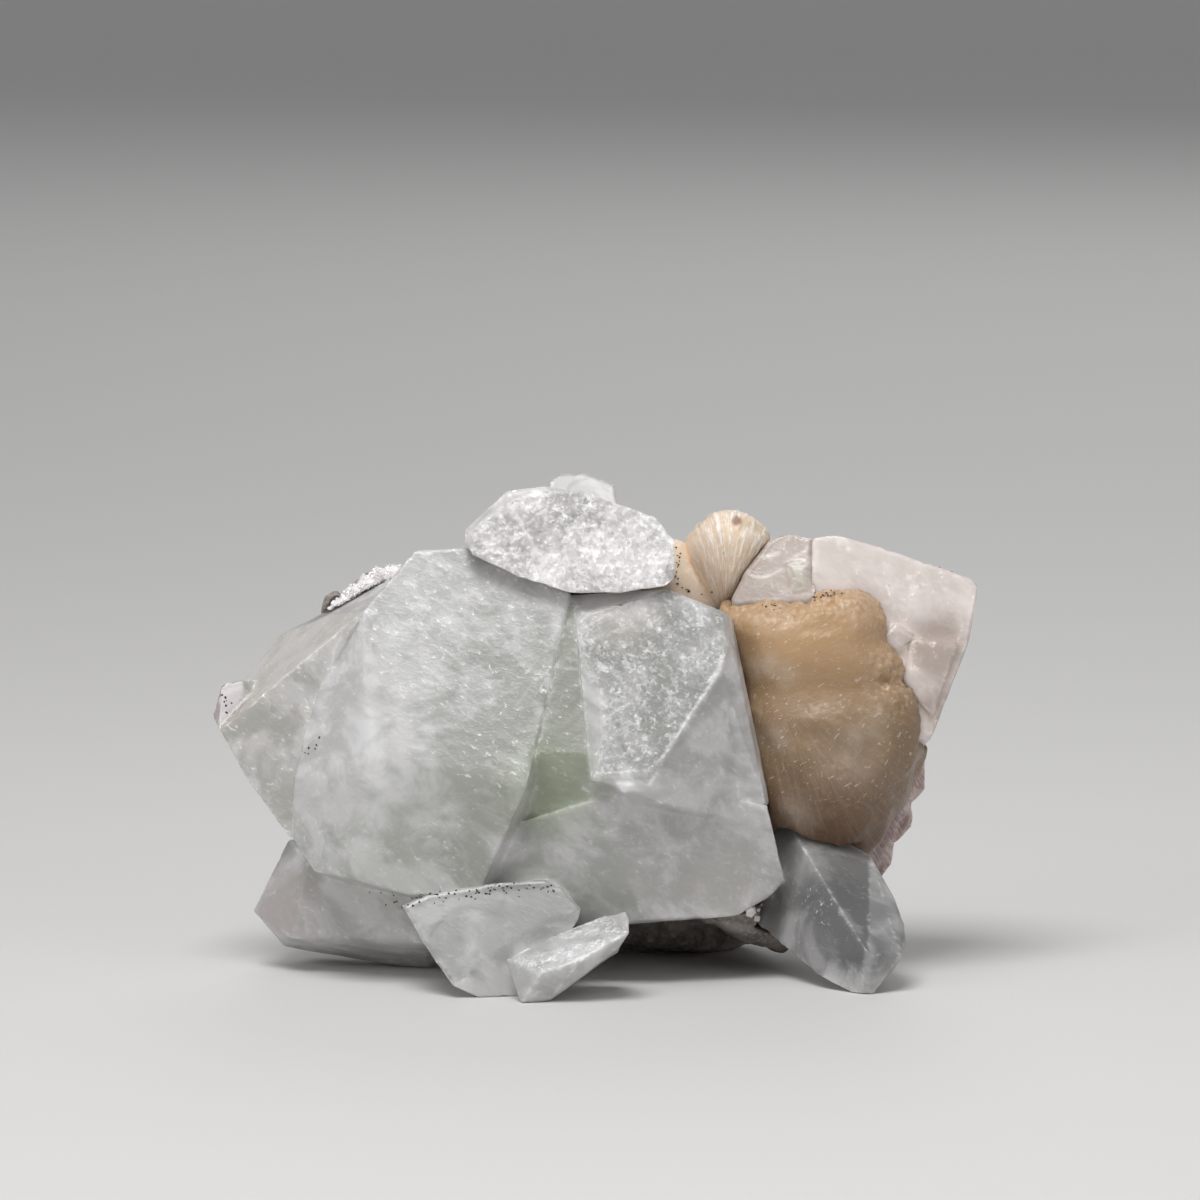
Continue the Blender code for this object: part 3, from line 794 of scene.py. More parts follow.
def soften(bm, soft_edges, layers, rim):
    """Rounds the creases along some lines, most in the middle, so that two faces run into each other."""
    front = [(v, *seen_at(v.co)) for v in bm.verts if v.normal.y < FACING]
    for corners, reach, rounds in soft_edges:
        xs, ys = zip(*corners)
        left, right = min(xs) - reach, max(xs) + reach
        low, high = min(ys) - reach, max(ys) + reach
        inside = [item for item in front if left < item[1] < right and low < item[2] < high]
        away = [(vert, off_line(corners, across, up)) for vert, across, up in inside]
        for step in SOFT_STEPS:
            near = [vert for vert, distance in away if distance < reach * step]
            melt(bm, near, rounds // len(SOFT_STEPS))
        near = [vert for vert, distance in away if distance < reach]
        blend_paint(near, layers, PAINT_ROUNDS)
        # a softened crease loses the painted highlight along its edge
        for vert in near:
            vert[rim] = 0.0


print("a crease is softened in steps of", SOFT_STEPS, "of its reach")

# %% Growing a crystal
NEAR_EDGE = (0.2, 1.3)  # between these distances from an edge its wobble dies down
NICKED = (0.1, 0.5)
RIM_HIGHLIGHT_START = 0.1
TINT_CORE = 0.3  # the share of a tint's radius that has its full strength
BACK_SIZE = 2.0
CRYSTAL_CREASE = 24  # degrees


def face_shift(vert, distance, finish, facet, seed, swell):
    """How far a vertex moves for the relief of its face, or for the nicks in its edge."""
    place = vert.co / MM
    near_edge = 1 - soft_step(distance, *NEAR_EDGE)
    wander = WOBBLE * (FLAT_WOBBLE + (1 - FLAT_WOBBLE) * near_edge)
    shift = noise.noise_vector(place / WOBBLE_SIZE + Vector((seed, 0, 0))) * wander
    if distance > 0:
        height = finish.depth * RELIEFS[finish.relief](place, seed + facet % 7, finish.paint["striped"])
        height *= soft_step(distance, 0.0, EDGE_FADE)
        return shift + vert.link_faces[0].normal * (height + swell)
    nick = soft_step(noise.noise(place / NICK_SIZE + Vector((0, seed, 0))), *NICKED)
    return shift + vert.normal * (swell - NICK_DEPTH * nick)


def add_marks(vert, shift, layers, marks, tints):
    """Paints a vertex with the marks and tints that reach it, and adds the marks to its shift."""
    across, up = seen_at(vert.co)
    for mark in marks:
        strength = mark.strength(across, up)
        shift += vert.normal * mark.height * strength
        for name, amount in mark.paint.items():
            vert[layers[name]] += amount * strength
    for name, mid_across, mid_up, radius, strength in tints:
        away = math.hypot(across - mid_across, up - mid_up)
        vert[layers[name]] += strength * (1 - soft_step(away, radius * TINT_CORE, radius))
    return shift


def grow_faces(bm, finishes, usual, seed=0.0, tints=(), marks=(), soft_edges=(), swell=0.0):
    """Moves the vertices of a finely cut crystal into relief, and paints and softens its faces."""
    layers = {name: bm.verts.layers.float.new(name) for name in PAINTS}
    rim = bm.verts.layers.float.new("rim")
    numbers = bm.faces.layers.int["facet"]
    bm.normal_update()
    distances, on_edge = edge_distance(bm, numbers)
    moved = []
    for vert, distance in zip(bm.verts, distances):
        facet = vert.link_faces[0][numbers]
        shift = face_shift(vert, distance, finishes.get(facet, usual), facet, seed, swell)
        shares = [finishes.get(face[numbers], usual) for face in vert.link_faces]
        for name, layer in layers.items():
            vert[layer] = sum(s.paint[name] for s in shares) / len(shares)
        # rim: a painted highlight along each edge, fading away from it
        vert[rim] = 1 - soft_step(distance, RIM_HIGHLIGHT_START, RIM_HIGHLIGHT_WIDTH)
        if vert.normal.y < FACING:
            shift = add_marks(vert, shift, layers, marks, tints)
        moved.append(vert.co + shift * MM)
    move_all(bm, moved)
    melt(bm, on_edge, 1)
    soften(bm, soft_edges, layers.values(), rim)


def crystal(name, node, slot, material, faces, usual, front_size, seed=0.0, **more):
    """Copies a crystal's solid, grows relief on its faces, and puts it in the solid's place."""
    bm = whole_faces(solid_copy(node))
    tree = BVHTree.FromBMesh(bm)
    bm.faces.ensure_lookup_table()
    finishes = {facet_seen(bm, tree, across, up): finish for (across, up), finish in faces}
    cut_finely(bm, front_size, BACK_SIZE, {facet: f.size for facet, f in finishes.items() if f.size})
    grow_faces(bm, finishes, usual, seed, **more)
    keep_inside(bm, *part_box(node))
    return new_piece(name, bm, node, material, sharp=CRYSTAL_CREASE)


print("the backs of the crystals are cut to", BACK_SIZE, "mm")

# %% [markdown]
# ## The main mass
#
# The mass is one solid, but its faces differ from block to block, so each one that the camera sees
# gets its own finish. Tints and marks then add what is special at one place on a face. A few tints
# are painted light, which whitens places where shade falls under the crown and in a recess.

# %% The main mass
# where each face is seen, in millimetres across and up, and what it is like
MASS_FACES = [
    ((-16, 38), Finish("flecky", cloudy=0.36, flecky=0.9, green=0.06)),  # broad face of the left block
    ((-32, 33), Finish("plain", cloudy=0.7, flecky=0.35)),  # its turned face
    ((-18, 22), Finish("flecky", cloudy=0.5, flecky=0.4, green=0.12)),  # its lower face
    ((-33, 22), Finish("plain", cloudy=0.35, flecky=0.3, green=0.05)),  # its lower left face
    ((-3, 36), Finish("flecky", cloudy=-0.3, flecky=0.7, green=0.2)),  # the window crystal
    ((-4, 28), Finish("plain", cloudy=0.25, flecky=0.2, green=0.25)),  # the window itself
    ((-1.5, 29.5), Finish("plain", cloudy=0.25, flecky=0.2, green=0.25)),  # its other half
    ((-40, 30), Finish("flecky", cloudy=0.3, flecky=0.7, warm=0.12)),  # face under the wing's ridge
    ((-38, 43), Finish("flecky", cloudy=0.8, flecky=1.0, warm=0.35)),  # top of the wing
    ((-29, 11), Finish("plain", cloudy=0.3, flecky=0.25, pink=0.05)),  # left foot, front
    ((-40, 10), Finish("plain", cloudy=0.35, flecky=0.2, pink=0.3)),  # left foot, left
    ((6, 40), Finish("basal", size=0.28, cloudy=0.9, flecky=0.8, pearly=0.5, striped=1.0)),  # middle block
    ((5.7, 26.7), Finish("plain", cloudy=0.1, flecky=0.2)),  # the ledge below it
    ((17, 32), Finish("plain", cloudy=0.4, flecky=0.3, pink=0.08)),  # its pyramid face
    ((-4, 18), Finish("plain", cloudy=0.35, flecky=0.2, green=0.05)),  # lower block, left
    ((14, 18), Finish("plain", cloudy=0.4, flecky=0.25, pink=0.08)),  # lower block, right
    ((-15, 9), Finish("plain", depth=0.3, cloudy=0.05, flecky=0.12, grey=0.42)),  # front foot
    ((-3, 7), Finish("basal", size=0.24, cloudy=0.8, flecky=0.9, pearly=1.0, striped=0.3)),  # front chip
    ((-0.5, 9.7), Finish("basal", size=0.24, cloudy=0.8, flecky=0.9, pearly=1.0)),  # its upper edge
    ((26, 9), Finish("plain", depth=0.5, cloudy=0.3, flecky=0.2, grey=0.6, pink=0.1)),  # right foot, left
    ((33, 10), Finish("plain", depth=0.5, cloudy=0.25, flecky=0.2, grey=0.6, pink=0.1)),  # right foot, top
]
MASS_TINTS_AND_PAINTED_LIGHT = [
    # (paint, across, up, radius, how much more of it)
    ("green", -6.2, 27.0, 8.5, 0.4),
    ("flecky", -29, 48, 4.0, 0.8),
    ("flecky", -24, 31, 12.0, -0.6),
    ("cloudy", -25, 35, 8.0, 0.12),
    ("cloudy", -12, 38, 9.0, -0.25),
    ("cloudy", -15, 29.5, 7.0, -0.3),
    ("cloudy", -14, 19, 9.0, -0.35),
    ("green", -27, 15, 8.0, 0.08),
    ("cloudy", -20, 52, 8.0, 0.35),
    # painted light: whitens the top of the middle block, in the crown's shadow
    ("cloudy", 4, 50.5, 6.0, 0.7),
    ("warm", 4, 49, 7.0, 0.2),
    ("pearly", 3, 47, 5.0, -0.2),
    ("warm", 17, 13, 7.0, 0.08),
    ("pink", -41, 11, 9.0, 0.25),
    ("pink", -47.5, 37.5, 4.0, 1.0),
    ("grey", -47.5, 37.5, 4.0, 0.3),
    ("cloudy", -46.5, 36.5, 5.0, -0.6),
    ("grey", 33, 9, 11.5, 0.35),
    ("grey", 36.5, 9, 7.0, 0.35),
    ("grey", 34, 4, 5.0, 0.35),
    ("grey", -3.2, 39.5, 4.5, 0.2),
    ("grey", 29, 13, 5.0, 0.2),
    ("flecky", 27.5, 12, 3.5, 0.8),
    ("cloudy", 31, 6.5, 4.0, 0.1),
    ("cloudy", -14, 8.5, 4.5, 0.4),
    # painted light, these two: whiten the recess beside the left block's right edge, where shade falls
    ("cloudy", -11, 19, 3.5, 0.5),
    ("cloudy", -8.5, 24.5, 2.5, 0.4),
    # painted light: whitens the top of the middle block, in the crown's shadow
    ("cloudy", 13, 50, 4.0, 0.5),
]
BASAL_OUTLINE = [
    (-2.1, 47.4), (-1.4, 43.4), (-0.5, 40), (0.8, 38.5), (1.2, 32.8), (-0.2, 28), (6.6, 28.3),
    (8.1, 29.2), (16.0, 41), (16.8, 44.3), (16.2, 48.7), (9.2, 51.5), (-1, 48.5),
]
BASAL_RIM = [(16.1, 48.6), (16.7, 44.2), (15.8, 41), (8, 29.4), (6.6, 28.5), (0, 28.2)]
MASS_MARKS = [
    Mark(BASAL_OUTLINE, 0.35, width=0.25, plate=True, pearly=0.45, flecky=0.3),
    Mark(BASAL_RIM, 0.14, width=0.45, cloudy=0.15),
    Mark([(-24.5, 12), (-21, 13), (-12, 14.4), (-6, 14.8)], 0.04, width=0.5, cloudy=0.1),
    Mark([(11.9, 23.9), (18.8, 22.4)], 0.03, width=0.3, cloudy=0.1),
    Mark([(18.4, 42), (20.4, 33), (21.9, 25)], 0.12, width=0.3, cloudy=0.35),
    Mark([(0.4, 27.6), (10.1, 26.8), (4.9, 25.8)], 0.1, width=0.3, plate=True),
    Mark([(-39, 33), (-33, 26), (-30.4, 17)], -0.04, width=0.3),
    Mark([(-27, 27.5), (-24, 22), (-26, 16)], -0.04, width=0.25),
    # painted highlight: a bright streak along the ridge of the clear right foot
    Mark([(31.5, 11), (34.8, 6.6)], 0.06, width=1.1, cloudy=0.5, grey=-0.4),
    Mark([(33.2, 12.7), (36.7, 8.6), (38.5, 6)], 0.06, width=0.3, cloudy=0.2),
]
# (the crease's corners, how far from it the surface is softened, how many rounds)
MASS_SOFT_EDGES = [
    ([(-28.2, 43), (-27.6, 38), (-26.8, 28.1), (-28.2, 22)], 4.8, 150),
    ([(-28.4, 21), (-30, 16.6)], 1.2, 18),
    ([(-34, 28.1), (-26.8, 28.1), (-12.5, 28.0)], 2.8, 60),
    ([(-4.5, 10.6), (-14.5, 4.2)], 1.6, 24),
    ([(1.4, 25.7), (4.5, 16)], 2.0, 36),
    ([(5.5, 25.8), (17.5, 23.0)], 1.6, 30),
    ([(30.5, 3.6), (34.2, 5.3)], 1.4, 24),
    ([(-36, 8.1), (-24, 7.8)], 1.3, 18),
    ([(-38.3, 16.5), (-38.5, 10)], 1.6, 24),
]
MASS_SIZE = 0.52  # keeps the piece under 200,000 triangles
mass = crystal(
    "grown_crystals", "apophyllite_main_mass", "apophyllite", milky, MASS_FACES, Finish(), MASS_SIZE,
    tints=MASS_TINTS_AND_PAINTED_LIGHT, marks=MASS_MARKS, soft_edges=MASS_SOFT_EDGES, seed=1.0,
)

# %% [markdown]
# ## The crystals beside the mass
#
# The crown and the peak behind it are pearly white, and the crystals on the right are pale and a
# little pink. They are cut and grown in the same way, with finishes of their own.

# %% The other crystals
crystal(
    "crown_crystal", "apophyllite_crown", "pearly_apophyllite", pearl,
    [((0, 57), Finish("basal", size=0.24, cloudy=0.5, flecky=1.0, pearly=1.0))],
    Finish(cloudy=0.5, flecky=0.4), 0.3, tints=[
        ("cloudy", 6, 57, 7.0, 0.4), ("pearly", -9, 60.5, 4, -0.8), ("pearly", 3, 61, 3.0, -0.6),
        ("pearly", -5, 55.5, 3.5, -0.5), ("cloudy", -9, 60.5, 4, -0.2),
    ],
    marks=[
        Mark([(-0.3, 63), (-3.3, 59.9), (-4, 57)], -0.3, width=0.8, cloudy=-0.25),
        Mark([(-10.6, 62.5), (-8.6, 59), (-7.2, 56.3)], 0.22, width=0.5, cloudy=0.6, pearly=0.6),
    ], seed=3.0,
)
crystal(
    "rear_peak_crystal", "apophyllite_rear_peak", "pearly_apophyllite", pearl,
    [((-2, 65.5), Finish("plain", depth=0.3, cloudy=0.1, flecky=0.2))],
    Finish(depth=0.3, cloudy=0.1), 0.4, seed=4.0,
)
PEAK_FACE = Finish("plain", depth=0.6, cloudy=0.8, flecky=0.25)
crystal(
    "right_peak_crystal", "apophyllite_right_peak", "pale_apophyllite", pale,
    [(place, PEAK_FACE) for place in ((38, 53), (31, 54), (26, 52), (45, 51))], Finish(cloudy=0.6), 0.4,
    tints=[("cloudy", 44, 45, 6.0, -0.7), ("cloudy", 45, 36, 6.0, -0.6)], seed=5.0, swell=0.3,
    marks=[
        Mark([(39.5, 46), (40.5, 52), (44, 53)], -0.03, width=0.4),
        Mark([(38, 47), (40.5, 45.5), (40, 41)], 0.05, width=0.4, cloudy=0.15),
    ],
)
crystal(
    "right_neighbour_crystal", "apophyllite_right_neighbour", "pale_apophyllite", pale,
    [((25, 54), Finish("plain", cloudy=0.12, flecky=0.5, green=0.05))],
    Finish(cloudy=0.2), 0.4, seed=6.0, swell=0.3,
    marks=[
        Mark([(24.2, 54.9), (26.6, 55.3), (27.6, 51.6), (25.1, 51)], 0.2, width=0.2, plate=True, green=0.15),
        Mark([(25, 54.2), (26.2, 54.4), (26.9, 52.2), (25.6, 51.9)], 0.15, width=0.2, plate=True, green=0.1),
    ],
)

# %% [markdown]
# ## Stilbite
#
# Stilbite grows in sheaves: thin blades start at a waist and spread like a bow tie or a fan. The
# surface is silky, with soft ribs where the blades end, and small overlapping scales at the rim.
# The solids are melted into smooth bodies first. Then ribs and scales are raised on them, and each
# vertex keeps its angle and its reach from the waist, so that the finish can follow the blades.

# %% Silky sheaves
WAIST_REACH = 4.5
WAIST_END = 36
SHEAF_PAINTS = ("angle", "reach", "scaly", "silky", "milk", "brown")
SEAM_SWELL = 0.7  # closes the seam on the left, where a sheaf grows on a crystal
FIRST_CUT = (1.0, 1.6)  # the longest edges on the front and the back before the melting
BACK_CUT = 1.4
LAST_ROUNDS = 3
REACH_UNIT = 20


def melted_copy(node, rounds, size, waist=None, waist_rounds=0):
    """A smooth body from a faceted solid, smoother still within reach of its waist."""
    bm = solid_copy(node)
    cut_finely(bm, *FIRST_CUT)
    melt(bm, bm.verts, rounds)
    if waist is not None:
        left = [v for v in bm.verts if v.co.x < WAIST_END * MM]
        near = [v for v in left if abs(seen_at(v.co)[1] - waist) < WAIST_REACH]
        melt(bm, near, waist_rounds)
    cut_finely(bm, size, BACK_CUT)
    melt(bm, bm.verts, LAST_ROUNDS)
    return bm


def raise_sheaf(bm, waist, relief, swell):
    """Raises ribs and scales round a waist, and stores what the finish needs to follow them."""
    layers = {name: bm.verts.layers.float.new(name) for name in SHEAF_PAINTS}
    bm.normal_update()
    moved = []
    for vert in bm.verts:
        across, up = seen_at(vert.co)
        angle = math.atan2(across - waist[0], up - waist[1])
        reach = math.hypot(across - waist[0], up - waist[1])
        height, paint = relief(vert.co / MM, across, up, angle, reach)
        height += swell + SEAM_SWELL * max(0.0, -vert.normal.x)
        moved.append(vert.co + vert.normal * height * MM)
        paint.update(angle=angle, reach=reach / REACH_UNIT)
        for name, layer in layers.items():
            vert[layer] = paint[name]
    move_all(bm, moved)


def scales(place, size, seed):
    """Small rounded scales that overlap, from 0 to 1."""
    near = noise.voronoi(place / size + Vector((seed, 0, 0)))[0]
    return 1 - min(1.0, near[0] * 1.3)


print("a sheaf is painted:", SHEAF_PAINTS)

# %% The bow tie's surface
BOW_TIE_WAIST = (22, 41)
SCALE_SIZE = 0.85
RIB_RISE = 0.04
SCALE_RISE = 0.5
FINE_RISE = 0.05
MILK_PATCHES = [
    # (across, up, radius, strength) of the whitish, cloudy places on the sheaf
    (21.5, 42.2, 2.6, 0.9), (24.5, 41.0, 2.2, 0.6), (32, 31, 6.5, 0.5), (34.5, 34, 3.5, 0.25),
    (23, 47.5, 3.0, 0.25), (34, 49.5, 4.0, 0.35), (22.5, 33, 3.0, 0.4), (26, 23.5, 3.5, 0.5),
]


def milk_at(across, up):
    """How cloudy the sheaf is at a place, from 0 to 1."""
    total = 0.0
    for mid_across, mid_up, radius, strength in MILK_PATCHES:
        away = math.hypot(across - mid_across, up - mid_up)
        total += strength * (1 - soft_step(away, radius * 0.2, radius))
    return min(1.0, total)


def bow_tie_relief(place, across, up, angle, reach):
    """Soft ribs on both lobes, scales on the upper and right rim, and lumps on the lower lobe."""
    rib = noise.noise(Vector((angle * 7, reach / 9, 3.0)))
    rib += 0.5 * noise.noise(Vector((angle * 17, reach / 6, 8.0)))
    right_rim = soft_step(across - abs(up - 40) * 0.12, 33.0, 36.5) * soft_step(up, 33, 40)
    edge = max(soft_step(up - across * 0.1, 43.5, 47.0), right_rim)
    scaly = edge * (0.6 + 0.4 * soft_step(noise.noise(place / 2.5), -0.3, 0.2))
    lumps = noise.noise(place / 2.2) * (0.03 + 0.05 * soft_step(40 - up, 0, 10))
    fine = noise.noise(place / 0.7 + Vector((0, 7, 0))) * FINE_RISE
    height = RIB_RISE * rib * soft_step(reach, 1.0, 8.0)
    height += SCALE_RISE * scaly * scales(place, SCALE_SIZE, 0.0)
    height = height + lumps + fine
    return height, {"scaly": scaly, "silky": 1.0, "milk": milk_at(across, up), "brown": 0.0}


print("milk at the waist:", round(milk_at(*BOW_TIE_WAIST), 2))

# %% The fan's surface
BROWN_SPOT = (18.0, 60.2)
BROWN_SIZE = (0.3, 0.9)
BLADE_RISE = 0.13
FAN_SCALE_RISE = 0.3


def fan_relief(place, across, up, angle, reach):
    """Fine straight blades that all start at the root, and a rougher rim."""
    bend = angle + 0.12 * noise.noise(place / 3.0)
    blade = noise.noise(Vector((bend * 16, reach / 4, 0.0)))
    blade += 0.8 * noise.noise(Vector((bend * 40, reach / 3, 5)))
    rim = soft_step(reach, 8.0, 11.5)
    silky = soft_step(across, 12.0, 14.5)
    height = BLADE_RISE * silky * blade * soft_step(reach, 1.0, 5.0)
    height += FAN_SCALE_RISE * rim * scales(place, 0.9, 4.0)
    inner = soft_step(across + 0.25 * up, 25.5, 29.5)
    brown = 1 - soft_step(math.hypot(across - BROWN_SPOT[0], up - BROWN_SPOT[1]), *BROWN_SIZE)
    blades = silky * (0.35 + 0.65 * inner)
    return height, {"scaly": rim * silky, "silky": blades, "milk": 0.3 * (1 - silky), "brown": brown}


print("the brown spot is at", BROWN_SPOT, "mm across and up")

# %% Stilbite's material
FLECK_TURN = (0, math.radians(35), 0)
# with height a sheaf goes from its low colour to its high one: partly its own tone, partly painted shade low
# down and painted light high up
LOW_TONE_AND_SHADE_BAND = (12.0, 33.0)  # millimetres above the table
HIGH_TONE_AND_LIGHT_BAND = (31.0, 44.0)
FLECK_BAND = (19.0, 26.0)
BROWN_STAIN = (0.28, 0.12, 0.06)
SILK_RADIUS = (1.3, 0.9, 0.6)  # red light wanders furthest


def make_stilbite(name, low, middle, high, streak, streaks, seed):
    """Silky peach stone: darker low and lighter high, partly painted shade and light; bright blades streak
    it, partly as painted sheen.
    """
    made, tree, shader = new_material(name)
    scaly, silky = painted(tree, "scaly"), painted(tree, "silky")
    level = put(tree, "ShaderNodeSeparateXYZ", Vector=millimetres(tree)).outputs[2]
    along = put(
        tree, "ShaderNodeCombineXYZ", X=times(tree, painted(tree, "angle"), 30.0),
        Y=times(tree, painted(tree, "reach"), 7.0), Z=seed,
    )
    blades = put(
        tree, "ShaderNodeTexNoise", Vector=along.outputs[0], Scale=1.0, Detail=4.0,
        Roughness=0.7, Distortion=0.6,
    ).outputs["Fac"]
    cloud = use(tree, STREAKS, Size=4.0, Stretch=1.3, Turn=VEIL_TURN, From=0.4, To=0.66, Seed=seed)
    glint_fleck = use(tree, STREAKS, Size=0.42, Stretch=2.4, Turn=FLECK_TURN, From=0.6, To=0.65, Seed=seed + 5)
    grains = use(tree, GLITTER, Size=0.6, Seed=seed)

    # darker towards the bottom, partly painted shade, and lighter towards the top, partly painted light
    lower = blend_colours(tree, band(tree, level, *LOW_TONE_AND_SHADE_BAND), low, middle)
    colour = blend_colours(tree, band(tree, level, *HIGH_TONE_AND_LIGHT_BAND), lower, high)
    milk = scaled(tree, painted(tree, "milk"), 0.45, 0.03)
    milk = times(tree, scaled(tree, cloud["Mask"], 0.6, 0.4), milk)
    colour = blend_colours(tree, milk, colour, streak)
    # the pale blade streaks are partly painted silky sheen
    bright = times(tree, band(tree, blades, 0.48, 0.6), times(tree, silky, streaks))
    # sparse white flecks low on the sheaf are painted glints
    sparse = times(tree, glint_fleck["Mask"], band(tree, level, *FLECK_BAND))
    bright = sums(tree, "MAXIMUM", bright, times(tree, sparse, 0.5))
    bright = scaled(tree, times(tree, grains["Mask"], scaly), 0.22, bright)
    colour = blend_colours(tree, sums(tree, "MINIMUM", bright, 1.0), colour, streak)
    colour = blend_colours(tree, times(tree, painted(tree, "brown"), 0.8), colour, BROWN_STAIN)

    rough = scaled(tree, cloud["Height"], 0.2, 0.3)
    fill(tree, shader, Base_Color=colour, Roughness=rough, Coat_Weight=0.2, Coat_Roughness=0.25, IOR=1.5)
    scattering(tree, shader, 0.9, SILK_RADIUS)
    height = times(tree, blades, times(tree, silky, streaks * 0.25))
    height = scaled(tree, times(tree, grains["Height"], scaly), 0.4, height)
    raise_surface(tree, shader, scaled(tree, glint_fleck["Height"], 0.14, height))
    return made


# the low colour is nearly black: painted shade as well as the stone's own tone at the foot
peach = make_stilbite(
    "peach_stilbite", (0.10, 0.045, 0.02), (0.25, 0.16, 0.085), (0.49, 0.305, 0.155),
    (0.80, 0.70, 0.60), 0.06, 2.0,
)
# the fan's strong blade streaks are partly painted sheen
cream = make_stilbite(
    "cream_stilbite", (0.5, 0.33, 0.2), (0.62, 0.44, 0.29), (0.82, 0.64, 0.47), (1.0, 0.95, 0.88), 0.9, 7.0
)

# %% The two sheaves
bm = melted_copy("stilbite_bow_tie", 3, 0.33, BOW_TIE_WAIST[1], 30)
raise_sheaf(bm, BOW_TIE_WAIST, bow_tie_relief, 0.15)
keep_inside(bm, *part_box("stilbite_bow_tie"))
bow_tie = new_piece("stilbite_sheaf", bm, "stilbite_bow_tie", peach)

FAN_ROOT = (16.5, 48.5)
bm = melted_copy("stilbite_fan", 4, 0.28)
raise_sheaf(bm, FAN_ROOT, fan_relief, 0.2)
keep_inside(bm, *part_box("stilbite_fan"))
fan = new_piece("stilbite_spray", bm, "stilbite_fan", cream)

# %% [markdown]
# ## The rock
#
# The crystals sit on a piece of dark basalt. It broke out of a gas bubble's wall, so it is craggy,
# with small round holes. The solid is cut evenly, roughened at several scales, and dented where
# the holes are.

# %% Basalt
BASALT_DARK = (0.20, 0.17, 0.15)
BASALT_LIGHT = (0.38, 0.34, 0.31)
BASALT_GRAIN = (0.50, 0.46, 0.42)
BASALT_SPECK = (0.5, 0.45, 0.42)
HOLES_END = 42  # the knobs above it are smooth
HOLE_EDGE = (0.12, 0.28)
FOOT = (0.3, 2.0)  # below this height the rock keeps its flat foot
ROCK_CREASE = 50  # degrees


def make_basalt():
    """Dull brown-grey rock in patches, with paler grains and a few pale specks."""
    made, tree, shader = new_material("dull_basalt")
    patches = use(tree, STREAKS, Size=5.0, Stretch=1.0, From=0.42, To=0.62, Seed=41.0)
    grains = use(tree, STREAKS, Size=0.7, Stretch=1.0, From=0.45, To=0.65, Seed=43.0)
    specks = use(tree, GLITTER, Size=0.6, Seed=44.0)
    colour = blend_colours(tree, patches["Mask"], BASALT_DARK, BASALT_LIGHT)
    colour = blend_colours(tree, times(tree, grains["Mask"], 0.5), colour, BASALT_GRAIN)
    speckled = times(tree, band(tree, specks["Mask"], 0.93, 0.96), 0.6)
    fill(tree, shader, Base_Color=blend_colours(tree, speckled, colour, BASALT_SPECK), Roughness=0.75)
    raise_surface(tree, shader, scaled(tree, specks["Height"], 0.4, times(tree, grains["Height"], 0.3)))
    return made


def roughen_rock(bm):
    """Roughens the rock at two scales, and dents it where the holes are."""
    bm.normal_update()
    moved = []
    for vert in bm.verts:
        place = vert.co / MM
        big = noise.noise(place / 5)
        crag = noise.fractal(place / 2.2, 0.8, 2.1, 4)
        near = noise.voronoi(place / 4.2)[0][0]
        hole = (1 - soft_step(near, *HOLE_EDGE)) * (1 - soft_step(place.z, HOLES_END, HOLES_END + 3))
        height = 0.35 * big + 0.35 * crag - 1.0 * hole - 0.1
        moved.append(vert.co + vert.normal * height * MM * soft_step(place.z, *FOOT))
    move_all(bm, moved)


basalt = make_basalt()
bm = solid_copy("basalt_matrix")
cut_finely(bm, 0.8, 0.9)
melt(bm, bm.verts, 2)
roughen_rock(bm)
keep_inside(bm, *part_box("basalt_matrix"))
rock = new_piece("craggy_rock", bm, "basalt_matrix", basalt, sharp=ROCK_CREASE)

# %% [markdown]
# ## Crusts of small crystals
#
# Little blocky crystals, each a few faces, cover the lumps at the upper left in a sugary rim, and
# sit in patches on the back of the rock. They are placed at random on the surface, leaning a
# little from its normal.

# %% Crusts
LEAN = 0.5
CRUST_CREASE = 20  # degrees


def surface_of(piece):
    """The piece's triangles as numpy arrays: middles, normals, areas in square millimetres."""
    mesh = piece.data
    middles = np.zeros(len(mesh.polygons) * 3)
    normals = np.zeros(len(mesh.polygons) * 3)
    areas = np.zeros(len(mesh.polygons))
    mesh.polygons.foreach_get("center", middles)
    mesh.polygons.foreach_get("normal", normals)
    mesh.polygons.foreach_get("area", areas)
    return middles.reshape(-1, 3), normals.reshape(-1, 3), areas / MM**2


def small_crystal(bm, place, way, size, picker):
    """A blocky crystal: a four or five-sided prism, narrower at its top, sunk into what it grows on."""
    lean = Vector([picker.uniform(-LEAN, LEAN) for _ in range(3)])
    spun = Euler((0, 0, picker.uniform(0, 6.3))).to_quaternion()
    turned = (Vector(way) + lean).to_track_quat("Z", "Y") @ spun
    stretch = picker.uniform(0.7, 1.5)
    matrix = Matrix.LocRotScale(Vector(place), turned, Vector((1, picker.uniform(0.6, 1), stretch)))
    bmesh.ops.create_cone(
        bm, cap_ends=True, segments=picker.choice((4, 4, 5)), radius1=size * MM * 0.6,
        radius2=size * MM * 0.36, depth=size * MM, matrix=matrix,
    )


def crust(name, piece, node, material, count, sizes, chosen, seed):
    """Scatters small crystals where chosen(place, normal) is true on a piece."""
    picker = random.Random(seed)
    middles, normals, areas = surface_of(piece)
    wanted = np.array([chosen(m / MM, n) for m, n in zip(middles, normals)], dtype=float) * areas
    ladder = np.cumsum(wanted)
    bm = bmesh.new()
    for _ in range(count):
        index = int(np.searchsorted(ladder, picker.uniform(0, ladder[-1])))
        size = picker.uniform(*sizes) * picker.uniform(0.6, 1)
        small_crystal(bm, middles[index], normals[index], size, picker)
    keep_inside(bm, cad_low, cad_high)
    return new_piece(name, bm, node, material, sharp=CRUST_CREASE)


SUGAR_WHITE = (0.97, 0.94, 0.93)
SUGAR_RADIUS = (1.1, 0.95, 0.9)


